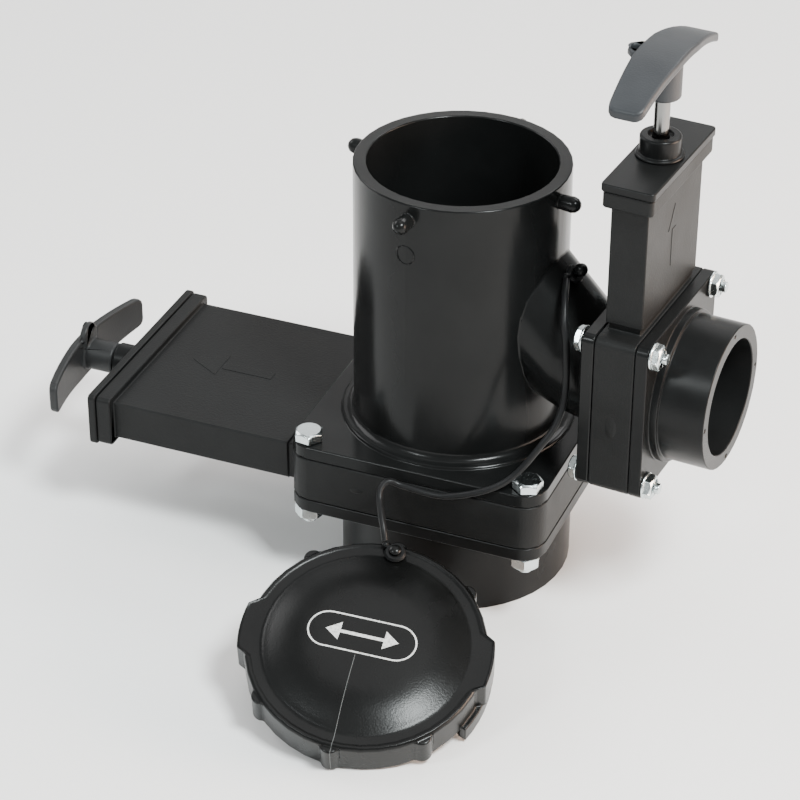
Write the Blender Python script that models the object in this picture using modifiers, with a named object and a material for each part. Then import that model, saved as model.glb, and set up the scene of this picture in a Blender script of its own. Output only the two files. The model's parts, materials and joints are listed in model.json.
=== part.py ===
"""Double gate valve for a waste pipe: a tee with two blade valves, a side inlet and a tethered dust cap.

The pipe of the tee stands upright, +Z up. The main blade slides along -X, the side inlet points
along +X and its blade slides along +Z. The dust cap lies in front of the valve, at -Y.
"""
import bmesh
import bpy
import math
from mathutils import Matrix, Vector

# Clearances
GAP = 0.0003
CUT_OVERRUN = 0.002
MERGE = 0.00001

# Pipes
MAIN_PIPE_OD = 0.0889
MAIN_PIPE_WALL = 0.0055
SIDE_PIPE_OD = 0.0483
SIDE_PIPE_WALL = 0.0037
SOCKET_PLAY = 0.0002

# Tee
TUBE_ABOVE_FLANGE = 0.1173
COLLAR_WIDTH = 0.0050
COLLAR_HEIGHT = 0.0012
COLLAR_FILLET = 0.0036
COLLAR_EASE = 0.0005
PEG_RADIUS = 0.0034
PEG_REACH = 0.0090
PEG_DROP = 0.0069
PEG_COUNT = 4
PEG_TURN = math.radians(-8.0)
BRANCH_WALL = 0.0036
BRANCH_SLOPE = math.radians(45.0)
BRANCH_STUB = 0.0145
BRANCH_BEND_RADIUS = 0.0270
SIDE_TURN = math.radians(-4.63)
SIDE_AXIS_RISE = 0.0389
STUD_NECK_RADIUS = 0.0013
STUD_BALL_RADIUS = 0.0028
STUD_LIFT = 0.0058
STUD_ALONG = 0.0310
STUD_LEAN = math.radians(5.0)

# Main valve, a square stack bolted through its corners
MAIN_FLANGE_EDGE_LONG = 0.01165
MAIN_FLANGE_EDGE_WIDE = 0.01005
MAIN_FLANGE_THICKNESS = 0.0058
MAIN_FLANGE_CORNER = 0.0100
MAIN_FRAME_DEPTH = 0.0200
MAIN_BOLT_INSET_LONG = 0.0077
MAIN_BOLT_INSET_WIDE = 0.0071
HUB_DEPTH = 0.0389
HUB_WALL = 0.0048
HUB_STOP = 0.0030

# Main blade housing and gate
MAIN_HOUSING_REACH = 0.0915
MAIN_HOUSING_WIDTH = 0.0910
MAIN_HOUSING_DEPTH = 0.0175
MAIN_HOUSING_WALL = 0.0026
MAIN_BLADE_THICKNESS = 0.0030
MAIN_BLADE_LAP = 0.0034
MAIN_SEAL_LAP = 0.0079

# Side valve
SIDE_FLANGE_EDGE_WIDE = 0.01275
SIDE_FLANGE_EDGE_HIGH = 0.01085
SIDE_FLANGE_THICKNESS = 0.0052
SIDE_FLANGE_CORNER = 0.0035
SIDE_FLANGE_FROM_PIPE = 0.0255
SIDE_FRAME_DEPTH = 0.0170
SIDE_BOLT_INSET_WIDE = 0.0054
SIDE_BOLT_INSET_HIGH = 0.0047
SIDE_HUB_LENGTH = 0.0224
SIDE_HUB_WALL = 0.0060
SIDE_HUB_STOP = 0.0030
SIDE_HUB_RING = 0.0016

# Side blade housing and gate
SIDE_HOUSING_REACH = 0.0620
SIDE_HOUSING_WIDTH = 0.0566
SIDE_HOUSING_DEPTH = 0.0155
SIDE_HOUSING_WALL = 0.0026
SIDE_BLADE_THICKNESS = 0.0025
SIDE_BLADE_LAP = 0.0042
SIDE_SEAL_LAP = 0.0054

# End of each housing: a raised rim on the housing and a plate on the rim
NECK_LENGTH = 0.0030
MAIN_NECK_STEP = 0.0002
SIDE_NECK_STEP = 0.0010
RIM_LENGTH = 0.0066
RIM_STEP_WIDE = 0.0036
RIM_STEP_DEEP = 0.0028
RIM_CORNER = 0.0020
CAP_PLATE = 0.0034
CAP_PLATE_STEP = 0.0006
CAP_CORNER = 0.0020

# Gland on each end plate
MAIN_GLAND_RADIUS = 0.0076
MAIN_GLAND_LENGTH = 0.0102
SIDE_GLAND_RADIUS = 0.0083
SIDE_GLAND_LENGTH = 0.0086
GLAND_RECESS_RADIUS = 0.0050
GLAND_RECESS_DEPTH = 0.0040
GLAND_SPIGOT_WALL = 0.0012
ROD_SEAL_LENGTH = 0.0040

# Rods
ROD_RADIUS = 0.0031
FORK_LENGTH = 0.0090
FORK_SET_BACK = 0.0012
PIN_RADIUS = 0.0011
BLADE_TAIL = 0.0015
BLADE_CORNER = 0.0025
ROD_IN_HANDLE = 0.0090
MAIN_HANDLE_CLEAR = 0.0006
SIDE_HANDLE_CLEAR = 0.0160

# Handles
MAIN_HANDLE_SPAN = 0.0840
SIDE_HANDLE_SPAN = 0.0806
HANDLE_MID_WIDTH = 0.0190
HANDLE_TIP_WIDTH = 0.0146
HANDLE_THICKNESS = 0.0040
MAIN_HANDLE_SWEEP = 0.0064
SIDE_HANDLE_SWEEP = 0.0106
HANDLE_BOSS_RADIUS = 0.0070
MAIN_HANDLE_BOSS = 0.0138
SIDE_HANDLE_BOSS = 0.0168
HANDLE_TIP_CORNER = 0.0036
HANDLE_TAPER_START = 0.0105
EAR_RADIUS = 0.0062
EAR_REACH = 0.0026
EAR_HOLE_RADIUS = 0.0022
EAR_INSET = 0.0005
EAR_THICKNESS = 0.0032
EAR_SET_BACK = 0.0022

# Fasteners
MAIN_BOLT_RADIUS = 0.00318
MAIN_HEX_FLATS = 0.0111
MAIN_HEAD_HEIGHT = 0.0043
MAIN_NUT_HEIGHT = 0.0056
SIDE_BOLT_RADIUS = 0.0024
SIDE_HEX_FLATS = 0.0092
SIDE_HEAD_HEIGHT = 0.0038
SIDE_NUT_HEIGHT = 0.0040
BOLT_TAIL = 0.0022

# Dust cap, lying tilted with its near edge on the ground
DISC_RADIUS = 0.0486
DISC_THICKNESS = 0.0034
DOME_MARGIN = 0.0074
DOME_RISE = 0.0052
DOME_POWER = 5.0
DOME_FOOT = 1.5
SKIRT_DEPTH = 0.0150
SKIRT_WALL = 0.0030
SEAT_WALL = 0.0026
SEAT_GROOVE = 0.0080
SEAT_DEPTH = 0.0080
NUB_RADIUS = 0.0040
NUB_SINK = 0.0017
NUB_SET_DOWN = 0.0011
GRIP_PROUD = 0.0028
GRIP_HALF_ANGLE = math.radians(17.5)
GRIP_SLANT = math.radians(5.5)
GRIP_ANGLES = (math.radians(171.5), math.radians(351.5))
HOOK_LAG = math.radians(11.5)
NUB_ANGLES = (math.radians(33.0), math.radians(120.0), math.radians(211.5),
              math.radians(255.5), math.radians(300.5))
TETHER_NUB_ANGLE = math.radians(77.0)
HOOK_DROP = 0.0063
HOOK_HALF_ANGLE = math.radians(17.0)
HOOK_WALL = 0.0034
HOOK_TOE = 0.0040
CAP_SEAL_THICKNESS = 0.0026
CAP_AT_X = 0.0077
CAP_AT_Y = -0.1206
CAP_TURN = math.radians(19.4)
CAP_TILT = math.radians(21.0)
CAP_STUD_INSET = 0.0051
CAP_STUD_NECK = 0.0016
CAP_STUD_HEAD = 0.0026
CAP_STUD_HEAD_HEIGHT = 0.0020

# Tether
TETHER_RADIUS = 0.0014
LOOP_WIRE = 0.0013
LOOP_STEM_RADIUS = 0.0010
KNUCKLE_RADIUS = 0.0015
LOOP_TAIL = 0.0010
TEE_LOOP_SPIN = math.radians(165.0)
CAP_LOOP_SPIN = math.radians(60.0)
TETHER_STEP = 0.0065

# The tether's route from the stud on the branch to the cap, in the frame of the pipe's axis
TETHER_ROUTE = (
    (0.0499, -0.0127, 0.1504),
    (0.0523, -0.0208, 0.1472),
    (0.0548, -0.0282, 0.1402),
    (0.0571, -0.0315, 0.1310),
    (0.0586, -0.0350, 0.1125),
    (0.0574, -0.0410, 0.1008),
    (0.0526, -0.0468, 0.0916),
    (0.0440, -0.0528, 0.0792),
    (0.0330, -0.0566, 0.0716),
    (0.0153, -0.0568, 0.0645),
    (-0.0015, -0.0572, 0.0652),
    (-0.0076, -0.0590, 0.0672),
    (-0.0098, -0.0622, 0.0652),
    (-0.0090, -0.0657, 0.0617),
    (-0.0062, -0.0708, 0.0588),
    (-0.0036, -0.0748, 0.0553),
    (-0.0017, -0.0776, 0.0513),
)

# Facets
ROUND = 40
MEDIUM = 24
SMALL = 12
ARC_STEPS = 3
BEND_STEPS = 5
BOW_STEPS = 8
DOME_STEPS = 8
TIP_STEPS = 20
SECTOR_STEPS = 6
WIRE_SIDES = 6
SHARP_ANGLE = math.radians(35.0)

# Levels of the stack, worked out from the sizes above
MAIN_PIPE_RADIUS = MAIN_PIPE_OD / 2
MAIN_BORE_RADIUS = MAIN_PIPE_RADIUS - MAIN_PIPE_WALL
SIDE_PIPE_RADIUS = SIDE_PIPE_OD / 2
SIDE_BORE_RADIUS = SIDE_PIPE_RADIUS - SIDE_PIPE_WALL
MAIN_FLANGE_LENGTH = MAIN_PIPE_OD + 2 * MAIN_FLANGE_EDGE_LONG
MAIN_FLANGE_WIDTH = MAIN_PIPE_OD + 2 * MAIN_FLANGE_EDGE_WIDE
SIDE_FLANGE_WIDTH = SIDE_PIPE_OD + 2 * SIDE_FLANGE_EDGE_WIDE
SIDE_FLANGE_HEIGHT = SIDE_PIPE_OD + 2 * SIDE_FLANGE_EDGE_HIGH
LOWER_FLANGE_TOP = HUB_DEPTH + MAIN_FLANGE_THICKNESS
MAIN_FRAME_BOTTOM = LOWER_FLANGE_TOP + GAP
MAIN_FRAME_TOP = MAIN_FRAME_BOTTOM + MAIN_FRAME_DEPTH
TEE_FLANGE_BOTTOM = MAIN_FRAME_TOP + GAP
TEE_FLANGE_TOP = TEE_FLANGE_BOTTOM + MAIN_FLANGE_THICKNESS
TUBE_TOP = TEE_FLANGE_TOP + TUBE_ABOVE_FLANGE
MAIN_BLADE_LEVEL = MAIN_FRAME_TOP - MAIN_HOUSING_DEPTH / 2
SIDE_AXIS_LEVEL = TEE_FLANGE_TOP + SIDE_AXIS_RISE
SIDE_FLANGE_INNER = MAIN_PIPE_RADIUS + SIDE_FLANGE_FROM_PIPE
SIDE_FRAME_INNER = SIDE_FLANGE_INNER + SIDE_FLANGE_THICKNESS + GAP
SIDE_FRAME_OUTER = SIDE_FRAME_INNER + SIDE_FRAME_DEPTH
SIDE_HUB_FLANGE_INNER = SIDE_FRAME_OUTER + GAP
SIDE_HUB_FLANGE_OUTER = SIDE_HUB_FLANGE_INNER + SIDE_FLANGE_THICKNESS
SIDE_HUB_END = SIDE_HUB_FLANGE_OUTER + SIDE_HUB_LENGTH
SIDE_BLADE_X = (SIDE_FRAME_INNER + SIDE_FRAME_OUTER) / 2
BRANCH_BEND_X = SIDE_FLANGE_INNER - BRANCH_STUB
BRANCH_RADIUS = SIDE_BORE_RADIUS + BRANCH_WALL
SIDE_HUB_RADIUS = SIDE_PIPE_RADIUS + SOCKET_PLAY + SIDE_HUB_WALL

MAIN_RIM_WIDTH = MAIN_HOUSING_WIDTH + 2 * RIM_STEP_WIDE
MAIN_RIM_DEPTH = MAIN_HOUSING_DEPTH + 2 * RIM_STEP_DEEP
SIDE_RIM_WIDTH = SIDE_HOUSING_WIDTH + 2 * RIM_STEP_WIDE
SIDE_RIM_DEPTH = SIDE_HOUSING_DEPTH + 2 * RIM_STEP_DEEP

DOME_RADIUS = DISC_RADIUS - DOME_MARGIN
SEAT_RADIUS = DISC_RADIUS - SKIRT_WALL - SEAT_GROOVE - SEAT_WALL
NUB_OUT = DISC_RADIUS - NUB_SINK
GRIP_OUT = DISC_RADIUS + GRIP_PROUD
CAP_STUD_OUT = DISC_RADIUS - CAP_STUD_INSET


class Gate:
    """The sizes of one blade valve, in its own frame.

    The pipe runs along local Z, the housing reaches along local +X and the blade lies at local z = 0.
    """

    def __init__(self, **sizes):
        self.__dict__.update(sizes)
        self.blade_radius = self.bore + self.blade_lap
        self.seal_inner = self.bore + GAP
        self.seal_outer = self.bore + self.seal_lap
        self.pocket = self.seal_outer + GAP
        self.slot_half = self.blade_radius + GAP
        self.slot_depth = self.blade_thickness + 2 * GAP
        self.rim_end = self.frame_half + self.housing_reach
        self.plate_start = self.rim_end + GAP
        self.plate_end = self.plate_start + CAP_PLATE
        self.gland_start = self.plate_end + GAP
        self.gland_end = self.gland_start + self.gland_length
        self.handle_start = self.gland_end + self.handle_clear
        self.fork_tip = self.pocket + FORK_SET_BACK
        self.tail = self.fork_tip + FORK_LENGTH - BLADE_TAIL
        self.pin_at = self.fork_tip + FORK_LENGTH / 2
        self.cavity_half = self.housing_width / 2 - self.housing_wall
        self.cavity_depth = self.housing_depth - 2 * self.housing_wall
        self.rod_end = self.handle_start + ROD_IN_HANDLE


def main_gate():
    return Gate(name="main", bore=MAIN_BORE_RADIUS, blade_lap=MAIN_BLADE_LAP, seal_lap=MAIN_SEAL_LAP,
                blade_thickness=MAIN_BLADE_THICKNESS, frame_half=MAIN_FLANGE_LENGTH / 2,
                frame_across=MAIN_FLANGE_WIDTH, frame_corner=MAIN_FLANGE_CORNER,
                frame_low=MAIN_FRAME_BOTTOM - MAIN_BLADE_LEVEL,
                frame_high=MAIN_FRAME_TOP - MAIN_BLADE_LEVEL,
                housing_reach=MAIN_HOUSING_REACH, housing_width=MAIN_HOUSING_WIDTH,
                housing_depth=MAIN_HOUSING_DEPTH, housing_wall=MAIN_HOUSING_WALL, neck_step=MAIN_NECK_STEP,
                rim_width=MAIN_RIM_WIDTH, rim_depth=MAIN_RIM_DEPTH,
                gland_radius=MAIN_GLAND_RADIUS, gland_length=MAIN_GLAND_LENGTH,
                handle_clear=MAIN_HANDLE_CLEAR, handle_span=MAIN_HANDLE_SPAN,
                handle_boss=MAIN_HANDLE_BOSS, handle_sweep=MAIN_HANDLE_SWEEP, ear_side=1)


def side_gate():
    return Gate(name="side", bore=SIDE_BORE_RADIUS, blade_lap=SIDE_BLADE_LAP, seal_lap=SIDE_SEAL_LAP,
                blade_thickness=SIDE_BLADE_THICKNESS, frame_half=SIDE_FLANGE_HEIGHT / 2,
                frame_across=SIDE_FLANGE_WIDTH, frame_corner=SIDE_FLANGE_CORNER,
                frame_low=SIDE_FRAME_INNER - SIDE_BLADE_X,
                frame_high=SIDE_FRAME_OUTER - SIDE_BLADE_X,
                housing_reach=SIDE_HOUSING_REACH, housing_width=SIDE_HOUSING_WIDTH,
                housing_depth=SIDE_HOUSING_DEPTH, housing_wall=SIDE_HOUSING_WALL, neck_step=SIDE_NECK_STEP,
                rim_width=SIDE_RIM_WIDTH, rim_depth=SIDE_RIM_DEPTH,
                gland_radius=SIDE_GLAND_RADIUS, gland_length=SIDE_GLAND_LENGTH,
                handle_clear=SIDE_HANDLE_CLEAR, handle_span=SIDE_HANDLE_SPAN,
                handle_boss=SIDE_HANDLE_BOSS, handle_sweep=SIDE_HANDLE_SWEEP, ear_side=-1)


# Scene helpers
def clear_scene():
    for thing in list(bpy.data.objects):
        bpy.data.objects.remove(thing, do_unlink=True)


def new_collection(name):
    collection = bpy.data.collections.new(name)
    bpy.context.scene.collection.children.link(collection)
    return collection


def new_material(name, colour, roughness, metallic=0.0):
    made = bpy.data.materials.new(name)
    made.use_nodes = True
    shader = made.node_tree.nodes["Principled BSDF"]
    shader.inputs["Base Color"].default_value = (*colour, 1.0)
    shader.inputs["Roughness"].default_value = roughness
    shader.inputs["Metallic"].default_value = metallic
    return made


def frame_empty(name, parent, matrix):
    empty = bpy.data.objects.new(name, None)
    PARTS.objects.link(empty)
    empty.empty_display_size = MAIN_PIPE_RADIUS
    empty.parent = parent
    empty.matrix_local = matrix
    return empty


def from_bmesh(shape, name, parent, material=None, matrix=None):
    """Make an object from a bmesh, under its parent frame."""
    mesh = bpy.data.meshes.new(name)
    bmesh.ops.recalc_face_normals(shape, faces=shape.faces)
    shape.to_mesh(mesh)
    shape.free()
    made = bpy.data.objects.new(name, mesh)
    collection = PARTS if material else CUTTERS
    collection.objects.link(made)
    made.parent = parent
    if matrix:
        made.matrix_local = matrix
    if material:
        mesh.materials.append(material)
        mesh.shade_smooth()
        mesh.set_sharp_from_angle(angle=SHARP_ANGLE)
    else:
        made.hide_render = True
        made.display_type = "WIRE"
    return made


def combine(target, tool, operation):
    """Join or cut the target with a tool object that stays in the cutters' collection."""
    step = target.modifiers.new(f"{operation.lower()}_{tool.name}", "BOOLEAN")
    step.operation = operation
    step.object = tool
    step.solver = "EXACT"
    return target


def cut(target, *tools):
    for tool in tools:
        combine(target, tool, "DIFFERENCE")
    return target


def join(target, *tools):
    for tool in tools:
        combine(target, tool, "UNION")
    return target


# Shapes
def block(low, high, corner=0.0, corner_axis=2, steps=ARC_STEPS):
    """A box between two corners, its edges along one axis rounded."""
    low = Vector(low)
    high = Vector(high)
    size = high - low
    middle = (low + high) / 2
    shape = bmesh.new()
    bmesh.ops.create_cube(shape, size=1.0)
    bmesh.ops.scale(shape, vec=size, verts=shape.verts)
    bmesh.ops.translate(shape, vec=middle, verts=shape.verts)
    if corner:
        along = [edge for edge in shape.edges
                 if abs((edge.verts[0].co - edge.verts[1].co)[corner_axis]) > MERGE]
        bmesh.ops.bevel(shape, geom=along, offset=corner, segments=steps, profile=0.5, affect="EDGES")
    return shape


def rod_shape(radius, low, high, segments, tip_radius=None):
    """A cylinder or cone on local Z between two levels."""
    shape = bmesh.new()
    top = radius if tip_radius is None else tip_radius
    bmesh.ops.create_cone(shape, cap_ends=True, segments=segments, radius1=radius, radius2=top,
                          depth=high - low)
    bmesh.ops.translate(shape, vec=(0, 0, (low + high) / 2), verts=shape.verts)
    return shape


def ball_shape(radius, centre, segments=SMALL):
    shape = bmesh.new()
    bmesh.ops.create_uvsphere(shape, u_segments=segments, v_segments=segments // 2, radius=radius)
    bmesh.ops.translate(shape, vec=centre, verts=shape.verts)
    return shape


def merged(*shapes):
    """Put several overlapping closed shapes in one bmesh, for a cutter that is used whole."""
    whole = bmesh.new()
    for shape in shapes:
        mesh = bpy.data.meshes.new("scratch")
        shape.to_mesh(mesh)
        shape.free()
        whole.from_mesh(mesh)
        bpy.data.meshes.remove(mesh)
    return whole


def moved(shape, matrix):
    bmesh.ops.transform(shape, matrix=matrix, verts=shape.verts)
    return shape


def arc(centre, radius, start, end, steps=ARC_STEPS):
    """Points (r, z) on an arc, its angles in degrees from the r axis."""
    points = []
    for step in range(steps + 1):
        angle = math.radians(start + (end - start) * step / steps)
        points.append((centre[0] + radius * math.cos(angle), centre[1] + radius * math.sin(angle)))
    return points


def turned(name, profile, parent, material, segments=ROUND, matrix=None, closed=True):
    """A turned piece: a profile in the local XZ plane, its outer side from top to bottom."""
    mesh = bpy.data.meshes.new(name)
    count = len(profile)
    links = [(i, i + 1) for i in range(count - 1)]
    if closed:
        links.append((count - 1, 0))
    mesh.from_pydata([(r, 0, z) for r, z in profile], links, [])
    made = bpy.data.objects.new(name, mesh)
    collection = PARTS if material else CUTTERS
    collection.objects.link(made)
    made.parent = parent
    if matrix:
        made.matrix_local = matrix
    turn = made.modifiers.new("turn", "SCREW")
    turn.steps = segments
    turn.render_steps = segments
    turn.use_merge_vertices = True
    turn.merge_threshold = MERGE
    turn.use_smooth_shade = True
    if material:
        mesh.materials.append(material)
        edges = made.modifiers.new("edges", "WELD")
        edges.merge_threshold = MERGE
    else:
        made.hide_render = True
        made.display_type = "WIRE"
    return made


def ring_profile(inner, outer, low, high):
    return [(outer, high), (outer, low), (inner, low), (inner, high)]


def hexagon_shape(flats, low, high):
    return rod_shape(flats / math.sqrt(3), low, high, 6)


def wall_sector(inner, outer, low, high, middle, half_angle, slant=0.0):
    """A curved block between two radii over an arc round local Z, its ends slanted inwards by an angle."""
    centre = math.degrees(middle)
    wide = math.degrees(half_angle)
    narrow = math.degrees(half_angle - slant)
    outline = arc((0, 0), outer, centre - narrow, centre + narrow, SECTOR_STEPS)
    outline += arc((0, 0), inner, centre + wide, centre - wide, SECTOR_STEPS)
    return polygon_prism(outline, low, high)


def polygon_prism(points, low, high):
    """A flat outline in the local XY plane, drawn out along Z."""
    shape = bmesh.new()
    face = shape.faces.new([shape.verts.new((x, y, low)) for x, y in points])
    lifted = bmesh.ops.extrude_face_region(shape, geom=[face])
    tops = [item for item in lifted["geom"] if isinstance(item, bmesh.types.BMVert)]
    bmesh.ops.translate(shape, vec=(0, 0, high - low), verts=tops)
    return shape


# Frames
def place_frames():
    """The frames that the pieces are modelled in, all under one at the foot of the pipe's axis."""
    main = main_gate()
    reach_left = main.handle_start + main.handle_boss + HANDLE_THICKNESS
    reach_right = SIDE_HUB_END * math.cos(SIDE_TURN) + SIDE_HUB_RADIUS * math.sin(-SIDE_TURN)
    reach_back = MAIN_FLANGE_WIDTH / 2
    reach_front = cap_front()
    centre_x = (reach_right - reach_left) / 2
    centre_y = (reach_back + reach_front) / 2
    frames = {}
    frames["pipe"] = frame_empty("pipe_axis", None, Matrix.Translation((-centre_x, -centre_y, 0)))
    turn = Matrix.Rotation(math.pi, 4, "Z")
    frames["main"] = frame_empty("main_gate_frame", frames["pipe"],
                                 Matrix.Translation((0, 0, MAIN_BLADE_LEVEL)) @ turn)
    frames["side_turn"] = frame_empty("side_turn_frame", frames["pipe"],
                                      Matrix.Rotation(SIDE_TURN, 4, "Z")
                                      @ Matrix.Translation((0, 0, SIDE_AXIS_LEVEL)))
    upright = Matrix(((0, 0, 1, 0), (0, -1, 0, 0), (1, 0, 0, 0), (0, 0, 0, 1)))
    frames["side"] = frame_empty("side_gate_frame", frames["side_turn"],
                                 Matrix.Translation((SIDE_BLADE_X, 0, 0)) @ upright)
    frames["main_slide"] = frame_empty("main_slide_frame", frames["main"], Matrix.Identity(4))
    frames["side_slide"] = frame_empty("side_slide_frame", frames["side"], Matrix.Identity(4))
    hinge = cap_hinge_matrix()
    frames["cap_hinge"] = frame_empty("cap_hinge_frame", frames["pipe"], hinge)
    frames["cap"] = frame_empty("cap_frame", frames["cap_hinge"], hinge.inverted() @ cap_matrix())
    return frames


def cap_matrix():
    """The pose of the cap: local Z is the normal of its face, and the face's plane is local z = 0."""
    turn = Matrix.Rotation(CAP_TURN, 4, "Z")
    tilt = Matrix.Rotation(CAP_TILT, 4, "X")
    return Matrix.Translation((CAP_AT_X, CAP_AT_Y, cap_height())) @ turn @ tilt


def cap_hinge_matrix():
    """The pivot of the cap on its tether: at the knuckle of its loop, local X along the hinge's axis."""
    knuckle_at = loop_shape(CAP_STUD_NECK + GAP, LOOP_TAIL)[1]
    knuckle = cap_matrix() @ loop_place(cap_stud_place(), CAP_LOOP_SPIN) @ Vector((knuckle_at, 0, 0))
    return Matrix.Translation(knuckle) @ Matrix.Rotation(CAP_TURN, 4, "Z")


def cap_height():
    """Height of the face's centre that leaves the lowest point of the cap just above the ground."""
    skirt = (DISC_RADIUS * math.sin(CAP_TILT) + SKIRT_DEPTH * math.cos(CAP_TILT))
    nub = ((NUB_OUT + NUB_RADIUS) * math.sin(CAP_TILT) * math.sin(-NUB_ANGLES[3])
           + SKIRT_DEPTH * math.cos(CAP_TILT))
    hook_angle = GRIP_ANGLES[1] - HOOK_LAG - HOOK_HALF_ANGLE
    hook = (GRIP_OUT * math.sin(CAP_TILT) * math.sin(-hook_angle)
            + (SKIRT_DEPTH + HOOK_DROP) * math.cos(CAP_TILT))
    return max(skirt, nub, hook) + GAP


def cap_front():
    """The lowest y that the cap reaches, at the grip and nubs on its near side."""
    return CAP_AT_Y - (NUB_OUT + NUB_RADIUS) * math.cos(CAP_TILT)


# Tee
def build_tee(frames, look):
    pipe = frames["pipe"]
    turned_frame = frames["side_turn"]
    tube = [(0, TUBE_TOP), (MAIN_PIPE_RADIUS, TUBE_TOP)]
    shoulder = TEE_FLANGE_TOP + COLLAR_HEIGHT
    tube += arc((MAIN_PIPE_RADIUS + COLLAR_FILLET, shoulder + COLLAR_FILLET), COLLAR_FILLET, 180, 270)
    tube += [(MAIN_PIPE_RADIUS + COLLAR_WIDTH - COLLAR_EASE, shoulder),
             (MAIN_PIPE_RADIUS + COLLAR_WIDTH, shoulder - COLLAR_EASE),
             (MAIN_PIPE_RADIUS + COLLAR_WIDTH, TEE_FLANGE_BOTTOM + MAIN_FLANGE_THICKNESS / 2),
             (0, TEE_FLANGE_BOTTOM + MAIN_FLANGE_THICKNESS / 2)]
    tee = turned("tee_body", tube, pipe, look, closed=False)
    half_long = MAIN_FLANGE_LENGTH / 2
    half_wide = MAIN_FLANGE_WIDTH / 2
    flange = from_bmesh(block((-half_long, -half_wide, TEE_FLANGE_BOTTOM),
                              (half_long, half_wide, TEE_FLANGE_TOP), MAIN_FLANGE_CORNER),
                        "tee_flange_tool", pipe)
    branch_start = SIDE_FLANGE_INNER + SIDE_FLANGE_THICKNESS / 2
    join(tee, flange, branch_tool(turned_frame, BRANCH_RADIUS, branch_start, "branch_tool"),
         side_flange_tool(turned_frame))
    for number in range(PEG_COUNT):
        join(tee, peg_tool(pipe, PEG_TURN + number * math.tau / PEG_COUNT, number))
    join(tee, stud_tool(turned_frame))
    bore = from_bmesh(rod_shape(MAIN_BORE_RADIUS, TEE_FLANGE_BOTTOM - CUT_OVERRUN,
                                TUBE_TOP + CUT_OVERRUN, ROUND), "tee_bore_tool", pipe)
    bore_start = SIDE_FLANGE_INNER + SIDE_FLANGE_THICKNESS + CUT_OVERRUN
    cut(tee, bore, branch_tool(turned_frame, SIDE_BORE_RADIUS, bore_start, "branch_bore_tool"))
    cut(tee, main_bolt_holes(pipe, "tee"),
        side_bolt_holes(turned_frame, "tee"))
    return tee


def branch_axis():
    """The direction of the branch, from the side flange up into the pipe."""
    return Vector((-math.cos(BRANCH_SLOPE), 0, math.sin(BRANCH_SLOPE)))


def branch_path(start_x):
    """The branch's axis: level at the side flange, bent smoothly, then sloping up into the pipe."""
    run = BRANCH_BEND_RADIUS * math.tan(BRANCH_SLOPE / 2)
    start = Vector((start_x, 0, 0))
    centre = Vector((BRANCH_BEND_X + run, 0, BRANCH_BEND_RADIUS))
    points = [start]
    for step in range(BEND_STEPS + 1):
        angle = BRANCH_SLOPE * step / BEND_STEPS
        points.append(centre + BRANCH_BEND_RADIUS * Vector((-math.sin(angle), 0, -math.cos(angle))))
    slope = (BRANCH_BEND_X - MAIN_BORE_RADIUS / 2) / math.cos(BRANCH_SLOPE)
    points.append(Vector((BRANCH_BEND_X, 0, 0)) + branch_axis() * slope)
    return points


def branch_tool(frame, radius, start_x, name):
    """The branch's skin or its bore, swept along the same path."""
    line = bpy.data.curves.new(name, "CURVE")
    line.dimensions = "3D"
    line.bevel_depth = radius
    line.bevel_resolution = MEDIUM // 2 - 2
    line.use_fill_caps = True
    path = branch_path(start_x)
    spline = line.splines.new("POLY")
    spline.points.add(len(path) - 1)
    for slot, point in zip(spline.points, path):
        slot.co = (*point, 1.0)
    guide = bpy.data.objects.new(f"{name}_guide", line)
    CUTTERS.objects.link(guide)
    mesh = bpy.data.meshes.new_from_object(guide.evaluated_get(bpy.context.evaluated_depsgraph_get()))
    shape = bmesh.new()
    shape.from_mesh(mesh)
    bmesh.ops.remove_doubles(shape, verts=shape.verts, dist=MERGE)
    bpy.data.objects.remove(guide, do_unlink=True)
    bpy.data.meshes.remove(mesh)
    return from_bmesh(shape, name, frame)


def side_flange_tool(frame):
    half_wide = SIDE_FLANGE_WIDTH / 2
    half_high = SIDE_FLANGE_HEIGHT / 2
    return from_bmesh(block((SIDE_FLANGE_INNER, -half_wide, -half_high),
                            (SIDE_FLANGE_INNER + SIDE_FLANGE_THICKNESS, half_wide, half_high),
                            SIDE_FLANGE_CORNER, corner_axis=0), "side_flange_tool", frame)


def along_x(radius, low, high, segments):
    """A cylinder on local X."""
    return moved(rod_shape(radius, low, high, segments), Matrix.Rotation(math.pi / 2, 4, "Y"))


def peg_tool(frame, angle, number):
    level = TUBE_TOP - PEG_DROP
    inner = MAIN_PIPE_RADIUS - MAIN_PIPE_WALL / 2
    outer = MAIN_PIPE_RADIUS + PEG_REACH
    shape = bmesh.new()
    bmesh.ops.create_uvsphere(shape, u_segments=SMALL, v_segments=SMALL // 2, radius=PEG_RADIUS)
    for corner in shape.verts:
        if corner.co.z > -MERGE:
            corner.co.z += outer - PEG_RADIUS
        else:
            corner.co.z += inner + PEG_RADIUS
    lay = Matrix.Rotation(angle, 4, "Z") @ Matrix.Rotation(math.pi / 2, 4, "Y")
    moved(shape, Matrix.Translation((0, 0, level)) @ lay)
    return from_bmesh(shape, f"peg_{number + 1}_tool", frame)


def stud_frame():
    """Where the tether's stud stands on the branch: its foot on the branch's skin, Z outwards."""
    up = Vector((math.sin(BRANCH_SLOPE), 0, math.cos(BRANCH_SLOPE)))
    side = Vector((0, -1, 0))
    out = up * math.cos(STUD_LEAN) + side * math.sin(STUD_LEAN)
    foot = Vector((BRANCH_BEND_X, 0, 0)) + branch_axis() * STUD_ALONG + out * BRANCH_RADIUS
    return Matrix.Translation(foot) @ out.to_track_quat("Z", "Y").to_matrix().to_4x4()


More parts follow.
